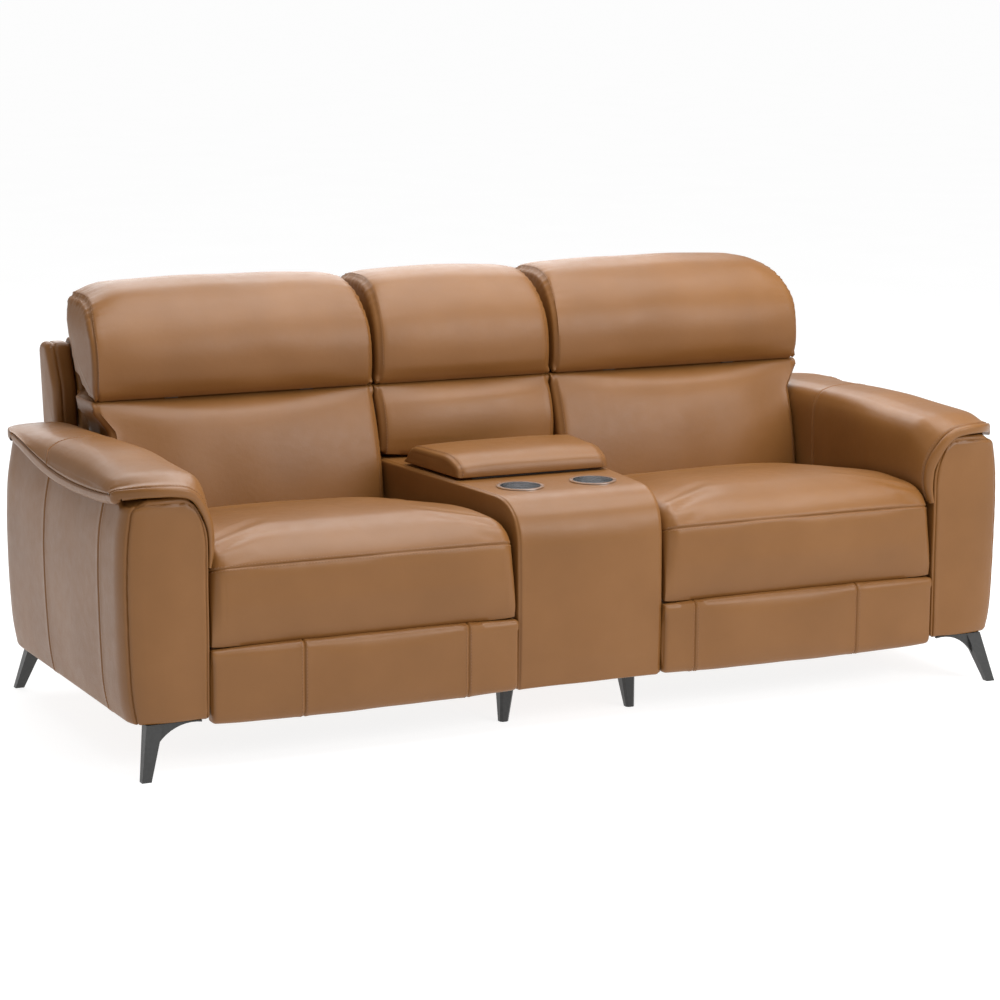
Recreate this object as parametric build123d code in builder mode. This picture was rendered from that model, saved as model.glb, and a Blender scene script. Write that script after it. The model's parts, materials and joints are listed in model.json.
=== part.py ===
from build123d import *
from math import cos, radians, sin
import os

# A two-seat reclining sofa with a console between the seats.
# Millimetres, +X right seen from the front, front towards -Y, +Z up, floor at zero.
# Depths named in this script are measured backwards from the front face of the arms.

# Whole sofa
WIDTH = 2110.0
TOE = 24.0
BACK_REACH = 970.0
FIT = 0.3
TOUCH = 0.2
SEAT_GAP = 6.0
BACK_GAP = 8.0

# Arms
ARM_WIDTH = 189.0
ARM_DEPTH = 848.0
ARM_BASE = 109.0
ARM_TOP = 612.0
ARM_BULGE = 22.0
ARM_TUCK = 27.0
CAP_THICK = 64.0
CAP_LIP = 20.0
CAP_OVERHANG = 14.0
CAP_SHORT = 2.0
CAP_CREST = 82.0
FLAP = 10.0
FLAP_BASE = 430.0
FLAP_ROUND = 26.0
ARM_EDGE = 22.0
CAP_NOSE = 26.0
CAP_TAIL = 70.0

# Console
CONSOLE_FRONT = 344.0
CONSOLE_REAR = 444.0
CONSOLE_SHORT = 65.0
CONSOLE_BASE = 91.0
CONSOLE_TOP = 500.0
CONSOLE_SET = 10.0
WATERFALL = 62.0
BIN_WIDTH = 270.0
BIN_INSET = 25.0
BIN_DEEP = 220.0
BIN_WALL = 3.0
RIM = 2.0
RIM_WIDTH = 9.0
CUP_SPACING = 176.0
CUP_DEPTH_BACK = 177.0
CUP_RADIUS = 44.0
CUP_FLANGE = 7.5
CUP_WALL = 1.5
CUP_DEEP = 72.0
LID_FRONT = 285.0
LID_HINGE_GAP = 10.0
LID_THICK = 49.0
LID_EDGE = 34.0

# Lid hinge
LID_AXIS_SET = 74.0
LID_PIN = 2.0
LID_KNUCKLE = 4.0
LID_LEAF = 2.0
LEAF_REACH = 36.0
LEAF_HALF = 88.0
KNUCKLE_HALF = 45.0

# Legs
LEG_WIDE = 36.0
LEG_DEEP = 28.0
LEG_FOOT = 20.0
LEG_TOE = 16.0
LEG_SPLAY = 22.0
LEG_INSET = 8.0
LEG_SIDE = 27.0
WING_LENGTH = 118.0
WING_TIP = 4.0
WING_WAIST = 24.0
WING_ROOT = 50.0
WING_THICK = 7.0
REAR_LEG_INSET = 22.0
CONSOLE_LEG_TOP = 36.0
CONSOLE_LEG_FOOT = 20.0
CONSOLE_LEG_EDGE = 5.0
CONSOLE_LEG_X = 146.0
CONSOLE_LEG_SPLAY = 8.0
CONSOLE_LEG_BACK = 128.0
CONSOLE_LEG_SPAN = 410.0

# Seat cushion, front panel and footrest pad
SEAT_LIP = -8.0
SEAT_ROLL = 55.0
SEAT_TOP = 470.0
SEAT_DIP = 28.0
SEAT_SHORT = 137.0
SEAT_CROWN = 24.0
SIDE_DRAW = 8.0
FRONT_BOW = 12.0
PANEL_GAP = 8.0
PANEL_THICK = 58.0
PAD_BASE = 94.0
PAD_TOP = 245.0
PAD_BULGE = 9.0
PAD_ROUND = 20.0
PAD_SEAM_OUT = 195.0
PAD_SEAM_IN = 92.0
SEAM_WIDTH = 9.0
SEAM_DEEP = 5.0

# Seat frame
FRAME_BASE = 255.0
FRAME_TOP = 335.0
BOARD = 20.0
FRAME_SHORT = 105.0
CROSS_BOARD = 242.0
STRAP = 3.0
STRAP_WIDTH = 60.0
STRAPS = 5

# Steel side plates; the outer ones stand beside the arms, the inner ones beside the console
PLATE = 4.0
LAYER = 5.0
PLATE_OUT = 18.0
PLATE_IN = 18.0
PLATE_FRONT = 145.0
PLATE_TOP = 328.0
PLATE_FOOT = 15.0
PLATE_FOOT_FRONT = 385.0
FLANGE = 52.0
FRAME_OFFSET = 16.0
STUD = 5.0

# Footrest linkage; angles are measured from straight ahead, upwards positive
LINK = 215.0
LINK_PIVOT_Z = 290.0
FRONT_LINK_BACK = 210.0
REAR_LINK_BACK = 165.0
LINK_REST_ANGLE = -128.0
LINK_EYE = 10.5
BRACKET_PIVOT_BACK = 125.0
BRACKET_PIVOT_Z = 240.0
HEEL = 40.0
HEEL_ANGLE = 74.8
TORQUE_TUBE = 9.0
FOOT_BOARD = 12.0
FOOT_BOARD_MARGIN = 16.0
FOOT_FLANGE = 30.0
FOOT_PLATE_LOW = 118.0
FOOT_PLATE_HIGH = 226.0

# Slide: rails on the base, glides on the plates, motor and track in the middle
STRETCHER_BASE = 112.0
STRETCHER_TOP = 150.0
STRETCHER_WIDE = 40.0
STRETCHER_FRONT = 372.0
RAIL_FRONT = 300.0
RAIL_OVER = 8.0
RAIL_SHEET = 2.0
GLIDE_Z = 200.0
GLIDE_HALF = 13.0
GLIDE_LONG = 50.0
GLIDE_SET = 40.0
TRACK_WIDE = 34.0
TRACK_HIGH = 30.0
TRACK_FRONT = 335.0
MOTOR_WIDE = 76.0
MOTOR_LONG = 86.0
MOTOR_HIGH = 64.0
DRIVE_SET = 44.0
DRIVE_Z = 226.0
DRIVE_TUBE = 12.0
BLOCK_WIDE = 48.0
BLOCK_LONG = 46.0
GEAR_WIDE = 82.0
GEAR_LONG = 54.0
GEAR_HIGH = 52.0

# Back
RECLINE_SET = 65.0
RECLINE_Z = 310.0
RECLINE_STUD = 8.0
RECLINE_EYE = 20.0
SHELL_DEEP = 265.0
BACK_FOOT_Z = 340.0
SHELL_RIDGE = 54.7
SHELL_RISE = 107.0
SHELL_ROUND = 32.0
SHELL_WAIST_Z = 560.0
SHELL_TAIL_Z = 190.0
SHELL_TAIL_SET = 62.0
SHELL_TAIL_THICK = 42.0
SHELL_TAIL_TOP = 300.0
SHELL_SIDE = 13.0
EAR = 58.0
EAR_GAP = 20.0
EAR_BEHIND = 16.0
BRACKET_REACH = 95.0
BRACKET_FLANGE = 44.0
LUMBAR_DEEP = 128.0
LUMBAR_BASE = 388.0
LUMBAR_BULGE = 16.0
CREASE_SET = 49.0
CREASE_Z = 668.0
CREASE = 8.0
LUMBAR_ROUND = 14.0
BACK_BOW = 16.0

# Headrest
HEAD_HIGH = 240.0
HEAD_DEEP = 65.0
HEAD_BELLY_RISE = 74.0
HEAD_BROW_SET = 11.0
HEAD_BROW_RISE = 180.0
HEAD_CROWN_BACK = 100.0
HEAD_REAR_SET = 36.0
HEAD_REAR_RISE = 168.0
HEAD_CORNER = 26.0
HEAD_FLARE = 28.0
HEAD_GAP = 3.0
HEAD_AXIS_SET = 12.0
HEAD_ROD = 3.4
ARM_STRAP_WIDE = 30.0
ARM_STRAP_HIGH = 70.0
ARM_STRAP = 4.0
ARM_STRAP_SPREAD = 320.0
STRAP_RING = 3.0

# Console back
MID_LUMBAR_DEEP = 89.0
MID_GAP = 8.0

# Rocker switch in the arm's inner face
SWITCH_BACK = 120.0
SWITCH_DROP = 42.0
BEZEL_LONG = 58.0
BEZEL_HIGH = 30.0
BEZEL = 1.5
BEZEL_BORDER = 8.0
SWITCH_POCKET = 12.0
ROCKER_PROUD = 1.0
ROCKER_DEEP = 6.0
ROCKER_PIN = 1.5
ROCKER_DISH = 1.6

# Places worked out from the sizes above
FACE_Y = (TOE - BACK_REACH) / 2
BACK_FOOT = BACK_REACH - SHELL_DEEP
RECLINE_BACK = BACK_FOOT - RECLINE_SET
LUMBAR_FRONT = BACK_FOOT - LUMBAR_DEEP
MID_LUMBAR_FRONT = BACK_FOOT - MID_LUMBAR_DEEP
CREASE_BACK = BACK_FOOT - CREASE_SET
HEAD_FRONT = BACK_FOOT - HEAD_DEEP
HEAD_BROW = BACK_FOOT - HEAD_BROW_SET
HEAD_CROWN = BACK_FOOT + HEAD_CROWN_BACK
HEAD_REAR = BACK_REACH - HEAD_REAR_SET
HEAD_AXIS_BACK = CREASE_BACK + HEAD_AXIS_SET
HEAD_TOP = CREASE_Z + HEAD_HIGH
HEAD_BELLY_Z = CREASE_Z + HEAD_BELLY_RISE
HEAD_BROW_Z = CREASE_Z + HEAD_BROW_RISE
HEAD_REAR_Z = CREASE_Z + HEAD_REAR_RISE
SHELL_TOP = CREASE_Z + SHELL_RISE
EAR_BASE = ARM_TOP + EAR_GAP
SEAT_DEPTH = BACK_FOOT - SEAT_SHORT
SEAT_SEAM = SEAT_TOP - SEAT_ROLL
SEAT_BACK_TOP = SEAT_TOP - SEAT_DIP
PANEL_BASE = PAD_TOP + PANEL_GAP
FRAME_REAR = BACK_FOOT - FRAME_SHORT
STRETCHER_REAR = FRAME_REAR
TRACK_REAR = STRETCHER_REAR + STRETCHER_WIDE
RAIL_REAR = TRACK_REAR + RAIL_OVER
PLATE_FOOT_REAR = FRAME_REAR
PLATE_BASE = GLIDE_Z - PLATE_FOOT
GLIDE_FRONT = PLATE_FOOT_FRONT + GLIDE_SET
GLIDE_REAR = PLATE_FOOT_REAR - GLIDE_SET
DRIVE_BACK = FRAME_REAR - DRIVE_SET
CONSOLE_LENGTH = BACK_FOOT - CONSOLE_SHORT
MID_LUMBAR_BASE = CONSOLE_TOP + MID_GAP
LID_AXIS = CONSOLE_LENGTH - LID_AXIS_SET
LID_REAR = LID_AXIS - LID_HINGE_GAP
LID_BASE = CONSOLE_TOP + LID_KNUCKLE
LID_TOP = LID_BASE + LID_THICK
BIN_FRONT = LID_FRONT + BIN_INSET
BIN_REAR = LID_REAR - BIN_INSET
BIN_FLOOR = CONSOLE_TOP - BIN_DEEP
CUP_RIM_RADIUS = CUP_RADIUS + CUP_FLANGE
CAP_BASE = ARM_TOP - CAP_THICK
SWITCH_Z = FLAP_BASE - SWITCH_DROP
ARM_IN = WIDTH / 2 - ARM_WIDTH
ARM_OUT = WIDTH / 2
SEAT_OUT = ARM_IN - SEAT_GAP
HEAD_OUT = SEAT_OUT + HEAD_FLARE
BACK_IN = CONSOLE_REAR / 2 + BACK_GAP
PLATE_X_OUT = ARM_IN - PLATE_OUT
PLATE_X_IN = CONSOLE_REAR / 2 + PLATE_IN
SEAT_MID = (PLATE_X_OUT + PLATE_X_IN) / 2
MID_PLANE = Plane.YZ.offset(-SEAT_MID)
FRAME_OUT = PLATE_X_OUT - PLATE - FRAME_OFFSET
FRAME_IN = PLATE_X_IN + PLATE + FRAME_OFFSET
LINK_X = -PLATE_X_OUT + LAYER
UPPER_X = LINK_X + LAYER
LIMIT = 2 * WIDTH

os.makedirs("parts", exist_ok=True)


def at(back, z):
    """A point of a side profile, given by its depth and its height."""
    return (FACE_Y + back, z)


def swing(point, length, angle):
    """The far end of a link that leaves a point at an angle from straight ahead."""
    return (point[0] - length * cos(radians(angle)), point[1] + length * sin(radians(angle)))


def console_half(back):
    """Half the console's width, which grows towards the rear."""
    return (CONSOLE_FRONT + (CONSOLE_REAR - CONSOLE_FRONT) * back / CONSOLE_LENGTH) / 2


def seat_in(back):
    """Distance of a seat's inner edge from the middle of the sofa."""
    return console_half(back) + SEAT_GAP


def back_line(z):
    """Depth of the slanted board behind the back cushions."""
    return BACK_FOOT + (SHELL_DEEP - SHELL_RIDGE) * (z - BACK_FOOT_Z) / (SHELL_TOP - BACK_FOOT_Z)


def shell_base(back):
    """Height of the sloping underside of a seat's back shell."""
    share = (back - BACK_FOOT) / (BACK_REACH - SHELL_TAIL_SET - SHELL_TAIL_THICK - BACK_FOOT)
    return BACK_FOOT_Z + share * (SHELL_TAIL_TOP - BACK_FOOT_Z)


def save(piece, name):
    piece.part.label = name
    export_step(piece.part, f"parts/{name}.step")


def save_pair(left, name):
    """Writes a piece of the left side and its mirror image on the right."""
    save(left, f"left_{name}")
    with BuildPart() as right:
        mirror(left.part, about=Plane.YZ)
    save(right, f"right_{name}")


def front_cut(x0, x1, z0, z1, low_draw, high_draw, rise, flare=0.0):
    """Keeps what lies in a front outline with a crowned top and drawn-in sides, the first one flared."""
    middle = (x0 + x1) / 2
    with BuildSketch(Plane.XZ) as outline:
        with BuildLine():
            ThreePointArc((x0 + low_draw + flare, z0), (x0, (z0 + z1) / 2), (x0 + high_draw, z1 - rise))
            ThreePointArc((x0 + high_draw, z1 - rise), (middle, z1), (x1 - high_draw, z1 - rise))
            ThreePointArc((x1 - high_draw, z1 - rise), (x1, (z0 + z1) / 2), (x1 - low_draw, z0))
            Line((x1 - low_draw, z0), (x0 + low_draw + flare, z0))
        make_face()
    extrude(outline.sketch, amount=LIMIT, both=True, mode=Mode.INTERSECT)


def plan_cut(front_x, rear_x, front, rear, bow):
    """Keeps what lies in a plan outline whose front edge bows forwards."""
    middle = (front_x[0] + front_x[1]) / 2
    with BuildSketch(Plane.XY) as outline:
        with BuildLine():
            left = (front_x[0], FACE_Y + front + bow)
            right = (front_x[1], FACE_Y + front + bow)
            ThreePointArc(left, (middle, FACE_Y + front), right)
            Polyline(right, (rear_x[1], FACE_Y + rear), (rear_x[0], FACE_Y + rear), left)
        make_face()
    extrude(outline.sketch, amount=LIMIT, mode=Mode.INTERSECT)


def eye_plate(x, points, radius, holes, hole_radius):
    """A flat link, rounded about its points and drilled at its holes."""
    with BuildSketch(Plane.YZ.offset(x)) as outline:
        for point in points:
            with Locations(at(*point)):
                Circle(radius)
        make_hull()
        for hole in holes:
            with Locations(at(*hole)):
                Circle(hole_radius, mode=Mode.SUBTRACT)
    extrude(outline.sketch, amount=PLATE)


def rod(x0, x1, point, radius, mode=Mode.ADD):
    """A round bar along the sofa."""
    with BuildSketch(Plane.YZ.offset(x0)) as section:
        with Locations(at(*point)):
            Circle(radius)
    extrude(section.sketch, amount=x1 - x0, mode=mode)


def slab(x0, x1, back0, back1, z0, z1, mode=Mode.ADD):
    """A rectangular board between two corners."""
    with BuildSketch(Plane.XY.offset(z0)) as section:
        with Locations(((x0 + x1) / 2, FACE_Y + (back0 + back1) / 2)):
            Rectangle(x1 - x0, back1 - back0)
    extrude(section.sketch, amount=z1 - z0, mode=mode)


# Arm body: a padded box whose outer side swells, with a pocket for the switch
front_plane = Plane(origin=(0, FACE_Y, 0), x_dir=(1, 0, 0), z_dir=(0, -1, 0))
with BuildPart() as arm_body:
    with BuildSketch(front_plane):
        with BuildLine():
            foot = (-ARM_OUT + ARM_TUCK, ARM_BASE)
            shoulder = (-ARM_OUT + ARM_TUCK - ARM_BULGE / 2, CAP_BASE - TOUCH)
            step = (-ARM_IN - FLAP - TOUCH, FLAP_BASE)
            Polyline(foot, (-ARM_IN, ARM_BASE), (-ARM_IN, FLAP_BASE - TOUCH),
                     (step[0], FLAP_BASE - TOUCH), (step[0], CAP_BASE - FLAP_ROUND))
            RadiusArc((step[0], CAP_BASE - FLAP_ROUND),
                      (step[0] - FLAP_ROUND, CAP_BASE - TOUCH), -FLAP_ROUND)
            Line((step[0] - FLAP_ROUND, CAP_BASE - TOUCH), shoulder)
            ThreePointArc(shoulder, (-ARM_OUT + ARM_TUCK - ARM_BULGE, (ARM_BASE + CAP_BASE) / 2), foot)
        make_face()
    extrude(amount=-ARM_DEPTH)
    outer_edges = arm_body.edges().filter_by(Plane.XZ).group_by(Axis.X)[0]
    fillet(outer_edges, radius=ARM_EDGE)
    with BuildSketch(Plane.YZ.offset(-ARM_IN)):
        with Locations(at(SWITCH_BACK, SWITCH_Z)):
            Rectangle(BEZEL_LONG - BEZEL_BORDER, BEZEL_HIGH - BEZEL_BORDER)
    extrude(amount=-SWITCH_POCKET, mode=Mode.SUBTRACT)
save_pair(arm_body, "arm_body")

# Arm cap: a rolled pad with a lip outside and in front, and a flap down the inner side
with BuildPart() as arm_cap:
    with BuildSketch(front_plane.offset(CAP_OVERHANG)):
        with BuildLine():
            lip = (-ARM_OUT, CAP_BASE + CAP_LIP)
            crest = (-ARM_IN - CAP_CREST, ARM_TOP)
            inner = (-ARM_IN, CAP_BASE - FLAP_ROUND)
            flap_in = (-ARM_IN - FLAP, CAP_BASE - FLAP_ROUND)
            Line((-ARM_OUT, CAP_BASE), lip)
            ThreePointArc(lip, ((lip[0] + crest[0]) / 2 - CAP_LIP / 2, ARM_TOP - CAP_LIP / 2), crest)
            ThreePointArc(crest, (-ARM_IN - CAP_CREST / 4, ARM_TOP - CAP_CREST / 3), inner)
            Polyline(inner, (-ARM_IN, FLAP_BASE), (-ARM_IN - FLAP, FLAP_BASE), flap_in)
            RadiusArc(flap_in, (flap_in[0] - FLAP_ROUND, CAP_BASE), -FLAP_ROUND)
            Line((flap_in[0] - FLAP_ROUND, CAP_BASE), (-ARM_OUT, CAP_BASE))
        make_face()
    extrude(amount=-(ARM_DEPTH - CAP_SHORT + CAP_OVERHANG))
    with BuildSketch(Plane.YZ):
        with BuildLine():
            chin = at(-CAP_OVERHANG, ARM_TOP - CAP_NOSE)
            brow = at(CAP_NOSE, ARM_TOP)
            crown = at(ARM_DEPTH - CAP_TAIL, ARM_TOP)
            tail = at(ARM_DEPTH - CAP_SHORT, ARM_TOP - CAP_TAIL / 2)
            ThreePointArc(chin, at(-CAP_OVERHANG / 4, ARM_TOP - CAP_NOSE / 3), brow)
            Line(brow, crown)
            ThreePointArc(crown, at(ARM_DEPTH - CAP_TAIL / 4, ARM_TOP - CAP_TAIL / 6), tail)
            Polyline(tail, at(ARM_DEPTH - CAP_SHORT, FLAP_BASE), at(-CAP_OVERHANG, FLAP_BASE), chin)
        make_face()
    extrude(amount=LIMIT, both=True, mode=Mode.INTERSECT)
save_pair(arm_cap, "arm_cap")

# Corner legs: tapered steel blades that splay outwards and forwards, each with a curved wing along the arm
leg_x = -ARM_OUT + ARM_TUCK + LEG_SIDE
with BuildPart() as front_legs:
    with BuildSketch(Plane.XY.offset(ARM_BASE)):
        with Locations((leg_x + LEG_WIDE / 2, FACE_Y + LEG_INSET + LEG_DEEP / 2)):
            Rectangle(LEG_WIDE, LEG_DEEP)
    with BuildSketch(Plane.XY):
        with Locations((leg_x - LEG_SPLAY + LEG_FOOT / 2, FACE_Y - TOE + LEG_TOE / 2)):
            Rectangle(LEG_FOOT, LEG_TOE)
    loft(ruled=True)
    with BuildSketch(front_plane.offset(-LEG_INSET)):
        with BuildLine():
            tip = (leg_x + WING_LENGTH, ARM_BASE - WING_TIP)
            waist = (leg_x + LEG_WIDE + WING_TIP, ARM_BASE - WING_WAIST)
            root = (leg_x + LEG_WIDE / 2, ARM_BASE - WING_ROOT)
            ThreePointArc(tip, waist, root)
            Polyline(root, (leg_x, ARM_BASE), (leg_x + WING_LENGTH, ARM_BASE), tip)
        make_face()
    extrude(amount=-WING_THICK)
    mirror(about=Plane.YZ)
save(front_legs, "front_legs")

leg_mirror = Plane.XZ.offset(-(FACE_Y + (ARM_DEPTH - REAR_LEG_INSET) / 2))
with BuildPart() as rear_legs:
    mirror(front_legs.part, about=leg_mirror)
save(rear_legs, "rear_legs")

# Console legs: four short tapered legs under the console
with BuildPart() as console_legs:
    with BuildSketch(Plane.XY.offset(CONSOLE_BASE)):
        with Locations((CONSOLE_LEG_X, FACE_Y + CONSOLE_LEG_BACK)):
            top_corners = Rectangle(CONSOLE_LEG_TOP, CONSOLE_LEG_TOP).vertices()
        chamfer(top_corners, CONSOLE_LEG_EDGE)
    with BuildSketch(Plane.XY):
        with Locations((CONSOLE_LEG_X + CONSOLE_LEG_SPLAY, FACE_Y + CONSOLE_LEG_BACK - CONSOLE_LEG_SPLAY)):
            foot_corners = Rectangle(CONSOLE_LEG_FOOT, CONSOLE_LEG_FOOT).vertices()
        chamfer(foot_corners, CONSOLE_LEG_EDGE)
    loft(ruled=True)
    mirror(about=Plane.YZ)
    mirror(about=Plane.XZ.offset(-(FACE_Y + CONSOLE_LEG_BACK + CONSOLE_LEG_SPAN / 2)))
save(console_legs, "console_legs")

# Base: two timber stretchers on each side of the console, and the slide rails on them
with BuildPart() as stretchers:
    for front in (STRETCHER_FRONT, STRETCHER_REAR):
        rear = front + STRETCHER_WIDE
        with BuildSketch(Plane.XY.offset(STRETCHER_BASE)):
            with BuildLine():
                Polyline((-ARM_IN, FACE_Y + front), (-console_half(front), FACE_Y + front),
                         (-console_half(rear), FACE_Y + rear), (-ARM_IN, FACE_Y + rear), close=True)
            make_face()
        extrude(amount=STRETCHER_TOP - STRETCHER_BASE)
    mirror(about=Plane.YZ)
save(stretchers, "base_stretchers")

rail_web = -PLATE_X_OUT - PLATE_OUT + FIT
rail_half = GLIDE_HALF + FIT
with BuildPart() as base_rails:
    slab(rail_web, rail_web + RAIL_SHEET, RAIL_FRONT, RAIL_REAR,
         STRETCHER_TOP, GLIDE_Z + rail_half + RAIL_SHEET)
    for z in (GLIDE_Z - rail_half - RAIL_SHEET, GLIDE_Z + rail_half):
        slab(rail_web, -PLATE_X_OUT - FIT, RAIL_FRONT, RAIL_REAR, z, z + RAIL_SHEET)
    mirror(about=MID_PLANE)
    mirror(about=Plane.YZ)
save(base_rails, "base_rails")

# Recline motor with the track that its screw runs in
with BuildPart() as recline_motor:
    slab(-SEAT_MID - TRACK_WIDE / 2, -SEAT_MID + TRACK_WIDE / 2, TRACK_FRONT, TRACK_REAR,
         STRETCHER_TOP, STRETCHER_TOP + TRACK_HIGH)
    slab(-SEAT_MID - MOTOR_WIDE / 2, -SEAT_MID + MOTOR_WIDE / 2,
         TRACK_FRONT - MOTOR_LONG, TRACK_FRONT - TOUCH,
         STRETCHER_TOP - TRACK_HIGH / 2, STRETCHER_TOP - TRACK_HIGH / 2 + MOTOR_HIGH)
save_pair(recline_motor, "recline_motor")

# Console body: it widens to the rear, its front top edge is rounded, and it has wells for the bin and cups
with BuildPart() as console_body:
    with BuildSketch(Plane.YZ):
        with BuildLine():
            nose = at(CONSOLE_SET, CONSOLE_TOP - WATERFALL)
            brow = at(CONSOLE_SET + WATERFALL, CONSOLE_TOP)
            Polyline(brow, at(CONSOLE_LENGTH, CONSOLE_TOP), at(CONSOLE_LENGTH, CONSOLE_BASE),
                     at(CONSOLE_SET, CONSOLE_BASE), nose)
            RadiusArc(nose, brow, WATERFALL)
        make_face()
    extrude(amount=CONSOLE_REAR, both=True)
    with BuildSketch(Plane.XY):
        with BuildLine():
            Polyline((-console_half(0), FACE_Y), (console_half(0), FACE_Y),
                     (CONSOLE_REAR / 2, FACE_Y + CONSOLE_LENGTH),
                     (-CONSOLE_REAR / 2, FACE_Y + CONSOLE_LENGTH), close=True)
        make_face()
    extrude(amount=CONSOLE_TOP, mode=Mode.INTERSECT)
    slab(-BIN_WIDTH / 2, BIN_WIDTH / 2, BIN_FRONT, BIN_REAR, BIN_FLOOR - TOUCH, CONSOLE_TOP,
         mode=Mode.SUBTRACT)
    with BuildSketch(Plane.XY.offset(CONSOLE_TOP)):
        cup_back = FACE_Y + CUP_DEPTH_BACK
        with Locations((-CUP_SPACING / 2, cup_back), (CUP_SPACING / 2, cup_back)):
            Circle(CUP_RADIUS + CUP_WALL + TOUCH)
    extrude(amount=-CUP_DEEP, mode=Mode.SUBTRACT)
save(console_body, "console_body")

# Storage bin that hangs in the console by its rim
with BuildPart() as console_bin:
    slab(-BIN_WIDTH / 2 + TOUCH, BIN_WIDTH / 2 - TOUCH, BIN_FRONT + TOUCH, BIN_REAR - TOUCH,
         BIN_FLOOR, CONSOLE_TOP)
    slab(-BIN_WIDTH / 2 - RIM_WIDTH, BIN_WIDTH / 2 + RIM_WIDTH, BIN_FRONT - RIM_WIDTH, BIN_REAR + RIM_WIDTH,
         CONSOLE_TOP, CONSOLE_TOP + RIM)
    slab(-BIN_WIDTH / 2 + BIN_WALL, BIN_WIDTH / 2 - BIN_WALL, BIN_FRONT + BIN_WALL, BIN_REAR - BIN_WALL,
         BIN_FLOOR + BIN_WALL, CONSOLE_TOP + RIM, mode=Mode.SUBTRACT)
save(console_bin, "console_bin")

# Steel cup holders, turned, each hanging by its flange
with BuildPart() as cup_holders:
    with BuildSketch(Plane.XZ.offset(-(FACE_Y + CUP_DEPTH_BACK))):
        with BuildLine():
            wall = CUP_RADIUS + CUP_WALL
            top = CONSOLE_TOP + RIM
            Polyline((CUP_SPACING / 2, top - CUP_DEEP), (CUP_SPACING / 2 + wall, top - CUP_DEEP),
                     (CUP_SPACING / 2 + wall, CONSOLE_TOP), (CUP_SPACING / 2 + CUP_RIM_RADIUS, CONSOLE_TOP),
                     (CUP_SPACING / 2 + CUP_RIM_RADIUS, top), (CUP_SPACING / 2 + CUP_RADIUS, top),
                     (CUP_SPACING / 2 + CUP_RADIUS, top - CUP_DEEP + CUP_WALL),
                     (CUP_SPACING / 2, top - CUP_DEEP + CUP_WALL), close=True)
        make_face()
    revolve(axis=Axis((CUP_SPACING / 2, FACE_Y + CUP_DEPTH_BACK, 0), (0, 0, 1)))
    mirror(about=Plane.YZ)
save(cup_holders, "cup_holders")

# Console lid: a crowned pad with a rolled front edge
with BuildPart() as console_lid:
    with BuildSketch(Plane.YZ):
        with BuildLine():
            chin = at(LID_FRONT + LID_EDGE / 2, LID_BASE)
            nose = at(LID_FRONT, LID_BASE + LID_EDGE / 2)
            brow = at(LID_FRONT + LID_EDGE, LID_TOP - RIM)
            tail = at(LID_REAR, LID_TOP - 2 * RIM)
            ThreePointArc(chin, at(LID_FRONT + LID_EDGE / 8, LID_BASE + LID_EDGE / 8), nose)
            ThreePointArc(nose, at(LID_FRONT + LID_EDGE / 4, LID_TOP - LID_EDGE / 3), brow)
            ThreePointArc(brow, at((LID_FRONT + LID_REAR) / 2, LID_TOP), tail)
            Polyline(tail, at(LID_REAR, LID_BASE), chin)
        make_face()
    extrude(amount=CONSOLE_REAR, both=True)
    half = console_half(LID_REAR)
    front_cut(-half, half, LID_BASE, LID_TOP, SIDE_DRAW / 2, SIDE_DRAW, SIDE_DRAW)
    near = console_half(LID_FRONT)
    plan_cut((-near, near), (-half, half), LID_FRONT, LID_REAR, FRONT_BOW / 2)
save(console_lid, "console_lid")

# Lid hinge: the fixed leaf with its pin, and the leaf under the lid
hinge_z = CONSOLE_TOP + LID_KNUCKLE
with BuildPart() as hinge_base:
    slab(-LEAF_HALF, LEAF_HALF, LID_AXIS + LID_KNUCKLE, LID_AXIS + LEAF_REACH,
         CONSOLE_TOP, CONSOLE_TOP + LID_LEAF)
    for x0, x1 in ((-LEAF_HALF, -KNUCKLE_HALF), (KNUCKLE_HALF, LEAF_HALF)):
        rod(x0, x1, (LID_AXIS, hinge_z), LID_KNUCKLE)
        slab(x0, x1, LID_AXIS, LID_AXIS + LID_KNUCKLE, CONSOLE_TOP, CONSOLE_TOP + LID_LEAF)
    rod(-LEAF_HALF, LEAF_HALF, (LID_AXIS, hinge_z), LID_PIN)
save(hinge_base, "lid_hinge_base")

with BuildPart() as hinge_leaf:
    slab(-LEAF_HALF, LEAF_HALF, LID_AXIS - LEAF_REACH, LID_AXIS - LID_KNUCKLE - FIT,
         LID_BASE - LID_LEAF + FIT, LID_BASE)
    slab(-KNUCKLE_HALF + FIT, KNUCKLE_HALF - FIT, LID_AXIS - LID_KNUCKLE - FIT, LID_AXIS,
         LID_BASE - LID_LEAF + FIT, LID_BASE)
    rod(-KNUCKLE_HALF + FIT, KNUCKLE_HALF - FIT, (LID_AXIS, hinge_z), LID_KNUCKLE - FIT)
    rod(-KNUCKLE_HALF, KNUCKLE_HALF, (LID_AXIS, hinge_z), LID_PIN + FIT, mode=Mode.SUBTRACT)
save(hinge_leaf, "lid_hinge_leaf")


def shell_top():
    """The upper outline of a back shell, from its rear waist over the rounded top to the front."""
    lean = at(back_line(SHELL_TOP), SHELL_TOP)
    ridge = at(BACK_REACH - SHELL_ROUND, SHELL_TOP)
    nape = at(BACK_REACH, SHELL_TOP - SHELL_ROUND)
    Line(nape, at(BACK_REACH, SHELL_WAIST_Z))
    RadiusArc(ridge, nape, SHELL_ROUND)
    Line(lean, ridge)


tail_rear = BACK_REACH - SHELL_TAIL_SET
tail_front = tail_rear - SHELL_TAIL_THICK

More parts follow.
